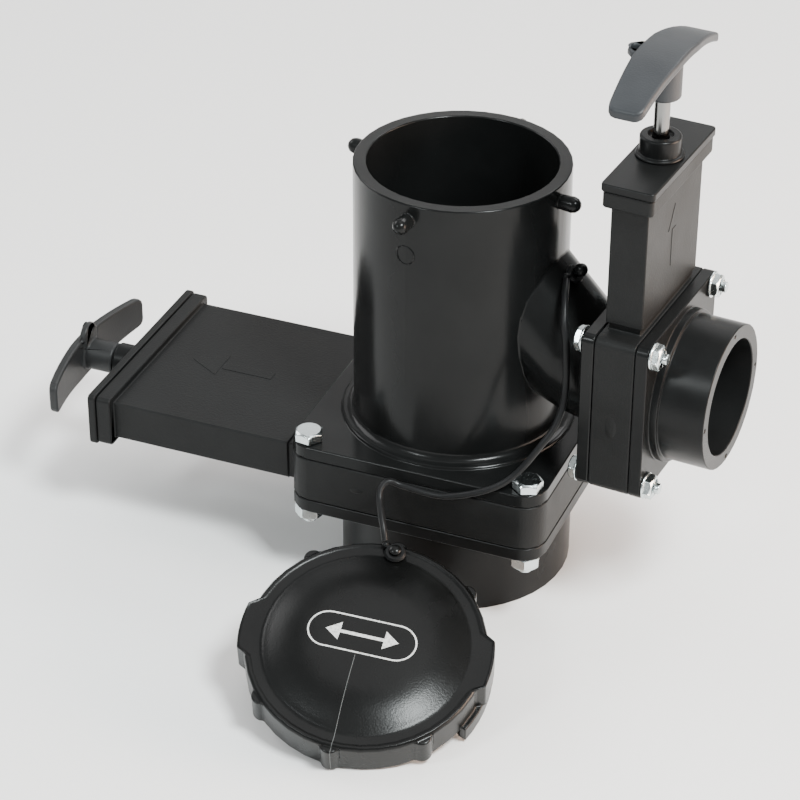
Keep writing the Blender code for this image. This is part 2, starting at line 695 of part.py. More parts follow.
def stud_tool(frame):
    profile = [(0, STUD_LIFT + STUD_BALL_RADIUS)]
    meet = -math.degrees(math.acos(STUD_NECK_RADIUS / STUD_BALL_RADIUS))
    profile += arc((0, STUD_LIFT), STUD_BALL_RADIUS, 90, meet, WIRE_SIDES)[1:]
    profile += [(STUD_NECK_RADIUS, -BRANCH_WALL / 2), (0, -BRANCH_WALL / 2)]
    return turned("stud_tool", profile, frame, None, SMALL, stud_frame(), closed=False)


def main_bolt_places():
    long = MAIN_FLANGE_LENGTH / 2 - MAIN_BOLT_INSET_LONG
    wide = MAIN_FLANGE_WIDTH / 2 - MAIN_BOLT_INSET_WIDE
    return [(-long, -wide), (long, -wide), (long, wide), (-long, wide)]


def side_bolt_places():
    wide = SIDE_FLANGE_WIDTH / 2 - SIDE_BOLT_INSET_WIDE
    high = SIDE_FLANGE_HEIGHT / 2 - SIDE_BOLT_INSET_HIGH
    return [(-wide, -high), (wide, -high), (wide, high), (-wide, high)]


def main_bolt_holes(frame, owner):
    holes = []
    for x, y in main_bolt_places():
        hole = rod_shape(MAIN_BOLT_RADIUS + GAP, HUB_DEPTH - CUT_OVERRUN, TEE_FLANGE_TOP + CUT_OVERRUN,
                         SMALL)
        holes.append(moved(hole, Matrix.Translation((x, y, 0))))
    return from_bmesh(merged(*holes), f"{owner}_main_bolt_holes_tool", frame)


def side_bolt_holes(frame, owner):
    holes = []
    for y, z in side_bolt_places():
        hole = along_x(SIDE_BOLT_RADIUS + GAP, SIDE_FLANGE_INNER - CUT_OVERRUN,
                       SIDE_HUB_FLANGE_OUTER + CUT_OVERRUN, SMALL)
        holes.append(moved(hole, Matrix.Translation((0, y, z))))
    return from_bmesh(merged(*holes), f"{owner}_side_bolt_holes_tool", frame)


# Valve bodies, made alike for both gates
def build_valve_body(gate, frame, look, holes, name):
    """The frame round the seals with the blade's housing, its neck, its end rim and its slot."""
    half_across = gate.frame_across / 2
    half_width = gate.housing_width / 2
    half_depth = gate.housing_depth / 2
    body = from_bmesh(block((-gate.frame_half, -half_across, gate.frame_low),
                            (gate.frame_half, half_across, gate.frame_high),
                            gate.frame_corner), name, frame, look)
    rim_start = gate.rim_end - RIM_LENGTH
    neck_start = gate.frame_half - CUT_OVERRUN
    neck_end = gate.frame_half + NECK_LENGTH
    step = gate.neck_step
    neck = from_bmesh(block((neck_start, -half_width + step, -half_depth + step),
                            (neck_end + CUT_OVERRUN, half_width - step, half_depth - step)),
                      f"{gate.name}_neck_tool", frame)
    shell = from_bmesh(block((neck_end, -half_width, -half_depth), (rim_start + CUT_OVERRUN, half_width,
                                                                   half_depth)),
                       f"{gate.name}_housing_tool", frame)
    rim = from_bmesh(block((rim_start, -gate.rim_width / 2, -gate.rim_depth / 2),
                           (gate.rim_end, gate.rim_width / 2, gate.rim_depth / 2),
                           RIM_CORNER, corner_axis=0, steps=3), f"{gate.name}_rim_tool", frame)
    join(body, neck, shell, rim)
    pocket = from_bmesh(rod_shape(gate.pocket, gate.frame_low - CUT_OVERRUN,
                                  gate.frame_high + CUT_OVERRUN, ROUND),
                        f"{gate.name}_pocket_tool", frame)
    slot = from_bmesh(block((0, -gate.slot_half, -gate.slot_depth / 2),
                            (neck_end + CUT_OVERRUN * 2, gate.slot_half, gate.slot_depth / 2)),
                      f"{gate.name}_slot_tool", frame)
    relief_half = ROD_RADIUS + GAP
    relief = from_bmesh(block((0, -relief_half, -relief_half),
                              (neck_end + CUT_OVERRUN * 2, relief_half, relief_half)),
                        f"{gate.name}_rod_relief_tool", frame)
    cavity = from_bmesh(block((neck_end + CUT_OVERRUN, -gate.cavity_half, -gate.cavity_depth / 2),
                              (gate.rim_end + CUT_OVERRUN, gate.cavity_half, gate.cavity_depth / 2)),
                        f"{gate.name}_cavity_tool", frame)
    cut(body, pocket, slot, relief, cavity, holes)
    return body


def build_end_plate(gate, frame, look):
    half_wide = gate.rim_width / 2 + CAP_PLATE_STEP
    half_deep = gate.rim_depth / 2 + CAP_PLATE_STEP
    plate = from_bmesh(block((gate.plate_start, -half_wide, -half_deep),
                             (gate.plate_end, half_wide, half_deep), CAP_CORNER, corner_axis=0, steps=3),
                       f"{gate.name}_housing_end_plate", frame, look)
    hole = from_bmesh(along_x(GLAND_RECESS_RADIUS + GLAND_SPIGOT_WALL + GAP,
                              gate.plate_start - CUT_OVERRUN, gate.plate_end + CUT_OVERRUN, MEDIUM),
                      f"{gate.name}_plate_hole_tool", frame)
    return cut(plate, hole)


def on_gate_axis():
    """Turned pieces of a gate have their local Z along the gate's local X."""
    return Matrix.Rotation(math.pi / 2, 4, "Y")


def build_gland(gate, frame, look):
    """A collar with a spigot in the end plate, a recess outside and a chamber for the rod seal."""
    rod_hole = ROD_RADIUS + GAP
    spigot = GLAND_RECESS_RADIUS + GLAND_SPIGOT_WALL
    spigot_end = gate.gland_start - CAP_PLATE - GAP
    chamber_end = spigot_end + ROD_SEAL_LENGTH + GAP
    recess_floor = gate.gland_end - GLAND_RECESS_DEPTH
    lip = GLAND_SPIGOT_WALL / 2
    outer = gate.gland_radius
    profile = [(GLAND_RECESS_RADIUS, gate.gland_end), (outer - lip, gate.gland_end),
               (outer, gate.gland_end - lip), (outer, gate.gland_start),
               (spigot, gate.gland_start), (spigot, spigot_end), (GLAND_RECESS_RADIUS, spigot_end),
               (GLAND_RECESS_RADIUS, chamber_end), (rod_hole, chamber_end), (rod_hole, recess_floor),
               (GLAND_RECESS_RADIUS, recess_floor)]
    return turned(f"{gate.name}_gland", profile, frame, look, MEDIUM, on_gate_axis())


def build_rod_seal(gate, frame, look):
    start = gate.gland_start - CAP_PLATE - GAP
    inner = ROD_RADIUS + GAP / 2
    outer = GLAND_RECESS_RADIUS - GAP
    middle = (inner + outer) / 2
    radius = (outer - inner) / 2
    profile = [(outer, start + ROD_SEAL_LENGTH - radius), (outer, start + radius)]
    profile += arc((middle, start + radius), radius, 0, -180)[1:]
    profile += arc((middle, start + ROD_SEAL_LENGTH - radius), radius, 180, 0)[:-1]
    return turned(f"{gate.name}_rod_seal", profile, frame, look, SMALL, on_gate_axis())


def build_blade(gate, frame, look):
    """A flat tongue with a round tip that covers the bore, a hole for the pin at its tail."""
    radius = gate.blade_radius
    tail = gate.tail
    points = arc((0, 0), radius, 90, 270, TIP_STEPS)
    points += [(tail - BLADE_CORNER, -radius), (tail, -radius + BLADE_CORNER),
               (tail, radius - BLADE_CORNER), (tail - BLADE_CORNER, radius)]
    half = gate.blade_thickness / 2
    blade = from_bmesh(polygon_prism(points, -half, half), f"{gate.name}_blade", frame, look)
    hole = rod_shape(PIN_RADIUS + GAP, -gate.blade_thickness, gate.blade_thickness, SMALL)
    return cut(blade, from_bmesh(moved(hole, Matrix.Translation((gate.pin_at, 0, 0))),
                                 f"{gate.name}_blade_hole_tool", frame))


def build_rod(gate, frame, look):
    """A round rod, forked over the tail of the blade, with a cross hole for the pin."""
    rod = from_bmesh(along_x(ROD_RADIUS, gate.fork_tip, gate.rod_end, SMALL),
                     f"{gate.name}_rod", frame, look)
    half = gate.blade_thickness / 2 + GAP
    reach = ROD_RADIUS + CUT_OVERRUN
    slot = from_bmesh(block((gate.fork_tip - CUT_OVERRUN, -reach, -half), (gate.tail + GAP, reach, half)),
                      f"{gate.name}_fork_slot_tool", frame)
    hole = rod_shape(PIN_RADIUS + GAP, -reach, reach, SMALL)
    cross = from_bmesh(moved(hole, Matrix.Translation((gate.pin_at, 0, 0))),
                       f"{gate.name}_rod_cross_hole_tool", frame)
    return cut(rod, slot, cross)


def build_pin(gate, frame, look):
    half = ROD_RADIUS - GAP
    pin = rod_shape(PIN_RADIUS, -half, half, SMALL)
    return from_bmesh(moved(pin, Matrix.Translation((gate.pin_at, 0, 0))),
                      f"{gate.name}_rod_pin", frame, look)


def build_seal(gate, frame, look, low, high, name):
    """A square-cut ring that fills its pocket beside the blade."""
    return turned(name, ring_profile(gate.seal_inner, gate.seal_outer, low, high), frame, look)


# Handle
def handle_outline(span):
    """The handle from above: wide in the middle, narrower to its rounded tips."""
    corner = HANDLE_TIP_CORNER
    quarter = [(HANDLE_MID_WIDTH / 2, HANDLE_TAPER_START)]
    quarter += arc((HANDLE_TIP_WIDTH / 2 - corner, span / 2 - corner), corner, 0, 90)
    half = quarter + [(-x, y) for x, y in reversed(quarter)]
    return half + [(-x, -y) for x, y in half]


def handle_arch(gate):
    """The handle from its side: a bowed bar, its tips swept back towards the housing."""
    half_span = gate.handle_span / 2 + CUT_OVERRUN
    crest = gate.handle_boss + HANDLE_THICKNESS
    outer = []
    inner = []
    for step in range(-BOW_STEPS, BOW_STEPS + 1):
        share = step / BOW_STEPS
        drop = gate.handle_sweep * share * share
        outer.append((half_span * share, crest - drop))
        inner.append((half_span * share, crest - HANDLE_THICKNESS - drop))
    return outer + inner[::-1]


def build_handle(gate, frame, look):
    """A bowed bar on a round boss, with an ear for a pull cable; its local Z is the pull direction."""
    place = Matrix.Translation((gate.handle_start, 0, 0)) @ on_gate_axis()
    boss_end = gate.handle_boss
    arch = polygon_prism(handle_arch(gate), -HANDLE_MID_WIDTH, HANDLE_MID_WIDTH)
    stand = Matrix(((0, 0, 1, 0), (1, 0, 0, 0), (0, 1, 0, 0), (0, 0, 0, 1)))
    moved(arch, stand)
    bar = from_bmesh(arch, f"{gate.name}_handle", frame, look, place)
    plan = from_bmesh(polygon_prism(handle_outline(gate.handle_span),
                                    boss_end - gate.handle_sweep - CUT_OVERRUN,
                                    boss_end + HANDLE_THICKNESS + CUT_OVERRUN),
                      f"{gate.name}_handle_plan_tool", frame, matrix=place)
    combine(bar, plan, "INTERSECT")
    boss = from_bmesh(rod_shape(HANDLE_BOSS_RADIUS, 0, boss_end + HANDLE_THICKNESS / 2, MEDIUM),
                      f"{gate.name}_handle_boss_tool", frame, matrix=place)
    ear_x = gate.ear_side * -(HANDLE_MID_WIDTH / 2 - EAR_INSET)
    ear_level = boss_end + HANDLE_THICKNESS - EAR_THICKNESS - EAR_SET_BACK
    ear = moved(rod_shape(EAR_RADIUS, ear_level, ear_level + EAR_THICKNESS, SMALL),
                Matrix.Translation((ear_x, 0, 0)))
    ear_tool = from_bmesh(ear, f"{gate.name}_handle_ear_tool", frame, matrix=place)
    join(bar, boss, ear_tool)
    hole_x = gate.ear_side * -(HANDLE_MID_WIDTH / 2 + EAR_REACH)
    hole = moved(rod_shape(EAR_HOLE_RADIUS, ear_level - CUT_OVERRUN,
                           ear_level + EAR_THICKNESS + CUT_OVERRUN, SMALL),
                 Matrix.Translation((hole_x, 0, 0)))
    socket = rod_shape(ROD_RADIUS + GAP, -CUT_OVERRUN, ROD_IN_HANDLE + GAP, SMALL)
    cut(bar, from_bmesh(hole, f"{gate.name}_handle_ear_hole_tool", frame, matrix=place),
        from_bmesh(socket, f"{gate.name}_handle_socket_tool", frame, matrix=place))
    return bar


def build_gate(gate, frame, slide, looks, names):
    build_end_plate(gate, frame, looks["abs"])
    build_gland(gate, frame, looks["abs"])
    build_rod_seal(gate, frame, looks["rubber"])
    build_seal(gate, frame, looks["rubber"], gate.frame_low, -gate.blade_thickness / 2 - GAP, names[0])
    build_seal(gate, frame, looks["rubber"], gate.blade_thickness / 2 + GAP, gate.frame_high, names[1])
    build_blade(gate, slide, looks["blade"])
    build_rod(gate, slide, looks["steel"])
    build_pin(gate, slide, looks["steel"])
    build_handle(gate, slide, looks["handle"])


# Hubs
def build_main_hub(frames, look):
    """The lower flange with the pipe socket below it."""
    pipe = frames["pipe"]
    socket = MAIN_PIPE_RADIUS + SOCKET_PLAY
    outer = socket + HUB_WALL
    half_long = MAIN_FLANGE_LENGTH / 2
    half_wide = MAIN_FLANGE_WIDTH / 2
    hub = from_bmesh(block((-half_long, -half_wide, HUB_DEPTH), (half_long, half_wide, LOWER_FLANGE_TOP),
                           MAIN_FLANGE_CORNER), "main_hub_flange", pipe, look)
    barrel = from_bmesh(rod_shape(outer, 0, HUB_DEPTH + MAIN_FLANGE_THICKNESS / 2, ROUND),
                        "hub_barrel_tool", pipe)
    top = LOWER_FLANGE_TOP + CUT_OVERRUN
    stop = HUB_DEPTH - HUB_STOP
    stepped = [(0, top), (MAIN_BORE_RADIUS, top), (MAIN_BORE_RADIUS, stop), (socket, stop),
               (socket, -CUT_OVERRUN), (0, -CUT_OVERRUN)]
    bore = turned("hub_bore_tool", stepped, pipe, None, closed=False)
    join(hub, barrel)
    return cut(hub, bore, main_bolt_holes(pipe, "hub"))


def build_side_hub(frames, look):
    """The outer flange of the side valve with its pipe socket and a raised ring at its foot."""
    frame = frames["side_turn"]
    half_wide = SIDE_FLANGE_WIDTH / 2
    half_high = SIDE_FLANGE_HEIGHT / 2
    socket = SIDE_PIPE_RADIUS + SOCKET_PLAY
    outer = SIDE_HUB_RADIUS
    start = SIDE_HUB_FLANGE_INNER + SIDE_FLANGE_THICKNESS / 2
    hub = from_bmesh(block((SIDE_HUB_FLANGE_INNER, -half_wide, -half_high),
                           (SIDE_HUB_FLANGE_OUTER, half_wide, half_high), SIDE_FLANGE_CORNER,
                           corner_axis=0), "side_hub_flange", frame, look)
    barrel = from_bmesh(along_x(outer, start, SIDE_HUB_END, ROUND), "side_hub_barrel_tool", frame)
    ring = from_bmesh(along_x(outer + SIDE_HUB_RING, start, SIDE_HUB_FLANGE_OUTER + SIDE_HUB_RING * 2,
                              ROUND), "side_hub_ring_tool", frame)
    end = SIDE_HUB_END + CUT_OVERRUN
    stop = SIDE_HUB_FLANGE_INNER + SIDE_HUB_STOP
    low = SIDE_HUB_FLANGE_INNER - CUT_OVERRUN
    stepped = [(0, end), (socket, end), (socket, stop), (SIDE_BORE_RADIUS, stop),
               (SIDE_BORE_RADIUS, low), (0, low)]
    bore = turned("side_hub_bore_tool", stepped, frame, None, ROUND, on_gate_axis(), closed=False)
    join(hub, barrel, ring)
    return cut(hub, bore, side_bolt_holes(frame, "hub"))


# Fasteners
def build_bolt(name, frame, place, radius, flats, head_height, length, look):
    """A hex bolt: the head's seat at local z = 0, its shank down -Z."""
    bolt = from_bmesh(hexagon_shape(flats, GAP, GAP + head_height), name, frame, look, place)
    shank = from_bmesh(rod_shape(radius, -length, GAP + head_height / 2, SMALL),
                       f"{name}_shank_tool", frame, matrix=place)
    return join(bolt, shank)


def build_nut(name, frame, place, radius, flats, height, look):
    """A hex nut on the same axis, its seat at local z = 0, its body down -Z."""
    nut = from_bmesh(hexagon_shape(flats, -GAP - height, -GAP), name, frame, look, place)
    hole = from_bmesh(rod_shape(radius + GAP / 2, -GAP - height - CUT_OVERRUN, CUT_OVERRUN, SMALL),
                      f"{name}_hole_tool", frame, matrix=place)
    return cut(nut, hole)


def build_main_bolts(frames, look):
    stack = TEE_FLANGE_TOP - HUB_DEPTH
    length = stack + GAP + MAIN_NUT_HEIGHT + BOLT_TAIL
    for number, (x, y) in enumerate(main_bolt_places(), 1):
        top = Matrix.Translation((x, y, TEE_FLANGE_TOP))
        bottom = Matrix.Translation((x, y, HUB_DEPTH))
        build_bolt(f"main_bolt_{number}", frames["pipe"], top, MAIN_BOLT_RADIUS, MAIN_HEX_FLATS,
                   MAIN_HEAD_HEIGHT, length, look)
        build_nut(f"main_nut_{number}", frames["pipe"], bottom, MAIN_BOLT_RADIUS, MAIN_HEX_FLATS,
                  MAIN_NUT_HEIGHT, look)


def build_side_bolts(frames, look):
    stack = SIDE_HUB_FLANGE_OUTER - SIDE_FLANGE_INNER
    length = stack + GAP + SIDE_NUT_HEIGHT + BOLT_TAIL
    lay = Matrix.Rotation(-math.pi / 2, 4, "Y")
    for number, (y, z) in enumerate(side_bolt_places(), 1):
        inner = Matrix.Translation((SIDE_FLANGE_INNER, y, z)) @ lay
        outer = Matrix.Translation((SIDE_HUB_FLANGE_OUTER, y, z)) @ lay
        build_bolt(f"side_bolt_{number}", frames["side_turn"], inner, SIDE_BOLT_RADIUS, SIDE_HEX_FLATS,
                   SIDE_HEAD_HEIGHT, length, look)
        build_nut(f"side_nut_{number}", frames["side_turn"], outer, SIDE_BOLT_RADIUS, SIDE_HEX_FLATS,
                  SIDE_NUT_HEIGHT, look)


# Dust cap
def build_cap(frames, look):
    """A domed disc with grips round its skirt, two bayonet hooks and a stud for the tether."""
    frame = frames["cap"]
    inner = DISC_RADIUS - SKIRT_WALL
    seat_top = -DISC_THICKNESS
    edge = DISC_THICKNESS / 2
    profile = dome_profile(DOME_RADIUS, 0, DOME_STEPS)
    profile += arc((DISC_RADIUS - edge, -edge), edge, 90, 0, ARC_STEPS)
    profile += [(DISC_RADIUS, -SKIRT_DEPTH), (inner, -SKIRT_DEPTH), (inner, seat_top),
                (SEAT_RADIUS + SEAT_WALL, seat_top), (SEAT_RADIUS + SEAT_WALL, seat_top - SEAT_DEPTH),
                (SEAT_RADIUS, seat_top - SEAT_DEPTH)]
    profile += dome_profile(SEAT_RADIUS, seat_top, DOME_STEPS // 3)[::-1]
    cap = turned("dust_cap", profile, frame, look, ROUND, closed=False)
    for number, angle in enumerate(GRIP_ANGLES, 1):
        grip = wall_sector(DISC_RADIUS - edge - GAP, GRIP_OUT, -SKIRT_DEPTH + GAP * 2, 0, angle,
                           GRIP_HALF_ANGLE, GRIP_SLANT)
        join(cap, from_bmesh(grip, f"grip_{number}_tool", frame))
        join(cap, hook_tool(frame, angle - HOOK_LAG, number))
    for number, angle in enumerate(NUB_ANGLES + (TETHER_NUB_ANGLE,), 1):
        nub = moved(nub_shape(), Matrix.Rotation(angle, 4, "Z"))
        join(cap, from_bmesh(nub, f"nub_{number}_tool", frame))
    join(cap, cap_stud_tool(frame))
    return cap


def dome_profile(radius, foot, steps):
    """Points of a shallow dome, from its crown to its foot, with a shoulder that runs out softly."""
    points = []
    for step in range(steps + 1):
        share = math.sin(math.pi / 2 * step / steps)
        points.append((radius * share, foot + DOME_RISE * (1 - share ** DOME_POWER) ** DOME_FOOT))
    return points


def nub_shape():
    """A round upright rib on the skirt, cut off flat in the middle of the skirt's wall."""
    flat = DISC_RADIUS - SKIRT_WALL / 2
    side = math.degrees(math.acos((flat - NUB_OUT) / NUB_RADIUS))
    return polygon_prism(arc((NUB_OUT, 0), NUB_RADIUS, -side, side, SMALL), -SKIRT_DEPTH + GAP,
                         -NUB_SET_DOWN)


def hook_tool(frame, angle, number):
    """A hook below a grip: a curved post with a toe that turns in under a peg."""
    outer = GRIP_OUT - GAP * 2
    inner = outer - HOOK_WALL
    low = -SKIRT_DEPTH - HOOK_DROP
    high = -SKIRT_DEPTH + CUT_OVERRUN
    post = wall_sector(inner, outer, low, high, angle, HOOK_HALF_ANGLE)
    hook = from_bmesh(post, f"hook_{number}_tool", frame)
    toe = wall_sector(inner - HOOK_TOE, outer - HOOK_WALL / 2, low + GAP, low + HOOK_WALL, angle,
                      HOOK_HALF_ANGLE - GAP / outer)
    return join(hook, from_bmesh(toe, f"hook_toe_{number}_tool", frame))


def cap_stud_place():
    return Matrix.Rotation(TETHER_NUB_ANGLE, 4, "Z") @ Matrix.Translation((CAP_STUD_OUT, 0, 0))


def cap_stud_tool(frame):
    seat = 2 * (LOOP_WIRE + GAP)
    rise = seat + CAP_STUD_HEAD_HEIGHT
    head = CAP_STUD_HEAD
    profile = [(0, rise), (head / 2, rise), (head, rise - CAP_STUD_HEAD_HEIGHT / 2), (head, seat),
               (CAP_STUD_NECK, seat), (CAP_STUD_NECK, -DISC_THICKNESS / 2), (0, -DISC_THICKNESS / 2)]
    return turned("cap_stud_tool", profile, frame, None, SMALL, cap_stud_place(), closed=False)


def build_cap_seal(frames, look):
    """The flat ring under the disc that the pipe's rim presses on."""
    high = -DISC_THICKNESS - GAP
    low = high - CAP_SEAL_THICKNESS
    profile = ring_profile(SEAT_RADIUS + SEAT_WALL + GAP, DISC_RADIUS - SKIRT_WALL - GAP, low, high)
    return turned("cap_seal", profile, frames["cap"], look)


# Tether
def loop_shape(hole, tail):
    """A ring round a stud with a short tail that ends in a knuckle, flat on local XY, tail along +X."""
    ring_radius = hole + LOOP_WIRE
    return ring_radius, ring_radius + LOOP_WIRE + tail


def loop_place(stud_place, spin):
    """A loop lies just above the foot of its stud, turned so that its tail points to the tether."""
    return stud_place @ Matrix.Translation((0, 0, LOOP_WIRE + GAP)) @ Matrix.Rotation(spin, 4, "Z")


def build_loop(name, frame, stud_place, spin, hole, tail, look):
    ring_radius, knuckle_at = loop_shape(hole, tail)
    place = loop_place(stud_place, spin)
    wire = arc((ring_radius, 0), LOOP_WIRE, 360, 360 / WIRE_SIDES, WIRE_SIDES - 1)
    ring = turned(name, wire, frame, look, SMALL, place)
    stem = from_bmesh(along_x(LOOP_STEM_RADIUS, ring_radius, knuckle_at, SMALL), f"{name}_stem_tool",
                      frame, matrix=place)
    knuckle = from_bmesh(ball_shape(KNUCKLE_RADIUS, (knuckle_at, 0, 0)), f"{name}_knuckle_tool",
                         frame, matrix=place)
    return join(ring, stem, knuckle)


def smooth_route(stations, spacing):
    """Points at even steps on a smooth curve through the route's own points."""
    ends = [stations[0] * 2 - stations[1]] + stations + [stations[-1] * 2 - stations[-2]]
    points = [stations[0]]
    for index in range(1, len(ends) - 2):
        before, start, end, after = ends[index - 1:index + 3]
        count = max(1, round((end - start).length / spacing))
        for step in range(1, count + 1):
            t = step / count
            points.append(0.5 * (2 * start + (end - before) * t
                                 + (2 * before - 5 * start + 4 * end - after) * t * t
                                 + (3 * start - before - 3 * end + after) * t * t * t))
    return points


def build_tether(frames, look):
    """The tether from the tee's stud round the front of the valve down to the cap."""
    stations = [Vector(point) for point in TETHER_ROUTE]
    line = bpy.data.curves.new("tether", "CURVE")
    line.dimensions = "3D"
    line.bevel_depth = TETHER_RADIUS
    line.bevel_resolution = 2
    line.use_fill_caps = True
    points = smooth_route(stations, TETHER_STEP)
    spline = line.splines.new("POLY")
    spline.points.add(len(points) - 1)
    for slot, point in zip(spline.points, points):
        slot.co = (*point, 1.0)
    line.materials.append(look)
    tether = bpy.data.objects.new("tether", line)
    PARTS.objects.link(tether)
    tether.parent = frames["pipe"]
    return tether


clear_scene()
PARTS = new_collection("double_waste_valve")
CUTTERS = new_collection("cutters")


def main():
    looks = {
        "abs": new_material("black_abs", (0.012, 0.013, 0.014), 0.28),
        "blade": new_material("blade_plastic", (0.020, 0.021, 0.022), 0.45),
        "handle": new_material("handle_plastic", (0.060, 0.068, 0.078), 0.45),
        "rubber": new_material("seal_rubber", (0.010, 0.010, 0.010), 0.80),
        "steel": new_material("stainless_steel", (0.55, 0.55, 0.54), 0.25, 1.0),
        "zinc": new_material("zinc_plated_steel", (0.62, 0.65, 0.66), 0.30, 1.0),
        "tether": new_material("tether_plastic", (0.015, 0.015, 0.016), 0.40),
    }
    frames = place_frames()
    main_valve = main_gate()
    side_valve = side_gate()
    build_tee(frames, looks["abs"])
    build_valve_body(main_valve, frames["main"], looks["abs"], main_bolt_holes(frames["pipe"], "main"),
                     "main_valve_body")
    build_gate(main_valve, frames["main"], frames["main_slide"], looks,
               ("main_seal_lower", "main_seal_upper"))
    build_main_hub(frames, looks["abs"])
    build_main_bolts(frames, looks["zinc"])
    build_valve_body(side_valve, frames["side"], looks["abs"],
                     side_bolt_holes(frames["side_turn"], "side"), "side_valve_body")
    build_gate(side_valve, frames["side"], frames["side_slide"], looks,
               ("side_seal_inner", "side_seal_outer"))
    build_side_hub(frames, looks["abs"])
    build_side_bolts(frames, looks["zinc"])
    build_cap(frames, looks["abs"])
    build_cap_seal(frames, looks["rubber"])
    build_loop("tether_tee_loop", frames["side_turn"], stud_frame(), TEE_LOOP_SPIN,
               STUD_NECK_RADIUS + GAP, LOOP_TAIL, looks["tether"])
    build_loop("tether_cap_loop", frames["cap"], cap_stud_place(), CAP_LOOP_SPIN,
               CAP_STUD_NECK + GAP, LOOP_TAIL, looks["tether"])
    build_tether(frames, looks["tether"])


main()
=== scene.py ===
import bpy
import json
import math
from mathutils import Matrix, Vector


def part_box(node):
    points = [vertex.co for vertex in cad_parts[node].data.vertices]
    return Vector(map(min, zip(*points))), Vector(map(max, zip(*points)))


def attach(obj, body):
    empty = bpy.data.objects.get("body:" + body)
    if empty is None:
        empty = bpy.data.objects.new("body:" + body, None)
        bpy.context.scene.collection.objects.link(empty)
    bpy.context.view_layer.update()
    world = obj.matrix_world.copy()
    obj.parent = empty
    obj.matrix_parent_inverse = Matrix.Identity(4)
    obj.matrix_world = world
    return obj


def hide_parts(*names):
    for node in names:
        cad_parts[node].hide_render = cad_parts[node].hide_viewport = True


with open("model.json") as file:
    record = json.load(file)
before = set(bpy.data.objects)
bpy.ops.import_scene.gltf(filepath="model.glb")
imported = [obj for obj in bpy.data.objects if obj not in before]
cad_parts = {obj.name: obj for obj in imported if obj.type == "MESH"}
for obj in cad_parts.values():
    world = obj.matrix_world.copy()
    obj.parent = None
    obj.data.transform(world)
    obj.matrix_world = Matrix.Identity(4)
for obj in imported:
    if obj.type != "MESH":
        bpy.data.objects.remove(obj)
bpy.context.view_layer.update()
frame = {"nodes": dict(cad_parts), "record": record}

# Where the main pieces stand, from the frame
TEE_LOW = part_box("tee_body")[0]
FLANGE_HALF_LENGTH = 0.0561
FLANGE_HALF_WIDTH = 0.0545
PIPE = Vector((TEE_LOW.x + FLANGE_HALF_LENGTH, TEE_LOW.y + FLANGE_HALF_WIDTH, 0))
PIPE_RADIUS = 0.04445
SIDE_TURN = math.radians(-4.63)
SIDE_AXIS_LEVEL = 0.110
SIDE_FRAME = (Matrix.Translation(PIPE + Vector((0, 0, SIDE_AXIS_LEVEL)))
              @ Matrix.Rotation(SIDE_TURN, 4, "Z"))
CAP_MIDDLE = (0.0366, -0.06379, 0.03196)
CAP_TURN = math.radians(19.4)
CAP_TILT = math.radians(21.0)
CAP_FRAME = (Matrix.Translation(CAP_MIDDLE) @ Matrix.Rotation(CAP_TURN, 4, "Z")
             @ Matrix.Rotation(CAP_TILT, 4, "X"))

# Camera, fitted to the photograph
VIEW_AZIMUTH = math.radians(21.90748)
VIEW_ELEVATION = math.radians(32.45882)
VIEW_ROLL = math.radians(0.29043)
VIEW_DISTANCE = 1.1968609
VIEW_TARGET = PIPE + Vector((-0.02669918, 0, 0.0673618))
LENS = 125.796
SENSOR = 36.0
NEAREST = 0.05
FARTHEST = 20.0

# Modelling
MERGE = 0.00001
FLAT = math.radians(1.0)
EDGE_ANGLE = math.radians(32.0)
SMOOTH_ANGLE = math.radians(40.0)
BODY_EDGE = 0.0005
MAIN_GATE_EDGE = 0.0006
SIDE_GATE_EDGE = 0.0005
HANDLE_EDGE = 0.0010
BLADE_EDGE = 0.0003
GLAND_EDGE = 0.0003
HUB_EDGE = 0.0004
CAP_EDGE = 0.0006
NO_EDGE = 0.0

# Hollow round each blade: past the blade's sides, and to either side of its plane
HOLLOW_PLAY = 0.001
HOLLOW_DEPTH = 0.0065

# Fasteners: a chamfered hexagon, with a round flange in the side stack, and a rolled thread
HEX_CORNER_ANGLE = math.radians(30.0)
HEX_CHAMFER = math.radians(38.0)
HEX_FACE_SHARE = 0.88
CONE_REACH = 1.5
FLANGE_EASE = 0.4
HEX_EDGE = 0.00022
FLANGE_THICKNESS = 0.0009
THREAD_PITCH = 0.0008
THREAD_DEPTH = 0.0003
THREAD_TURNS = 9
NUT_PLAY = 0.00015
SPARE = 0.0010
MAIN_FASTENER = {"flats": 0.0111, "flange": 0.0, "head": 0.0043, "nut": 0.0056, "shank": 0.00310}
SIDE_FASTENER = {"flats": 0.0092, "flange": 0.0056, "head": 0.0038, "nut": 0.0040, "shank": 0.00235}
BOLT_TURNS = (22.0, 52.0, 35.0, 8.0)
NUT_TURNS = (10.0, 44.0, 27.0, 61.0)
SIDE_BOLT_AXES = SIDE_FRAME @ Matrix.Rotation(math.radians(-90.0), 4, "Y")
MAIN_SLIDE_AXES = Matrix.Rotation(math.radians(-90.0), 4, "Y")

# Glands
GLAND_LIP_INNER = 0.0034
GLAND_LIP_OUTER = 0.0054
GLAND_LIP_DROP = 0.0012
GLAND_LIP_HEIGHT = 0.0020
GLAND_FOOT_GAP = 0.0003
GLAND_FOOT_WIDTH = 0.0014
GLAND_FOOT_HEIGHT = 0.0012

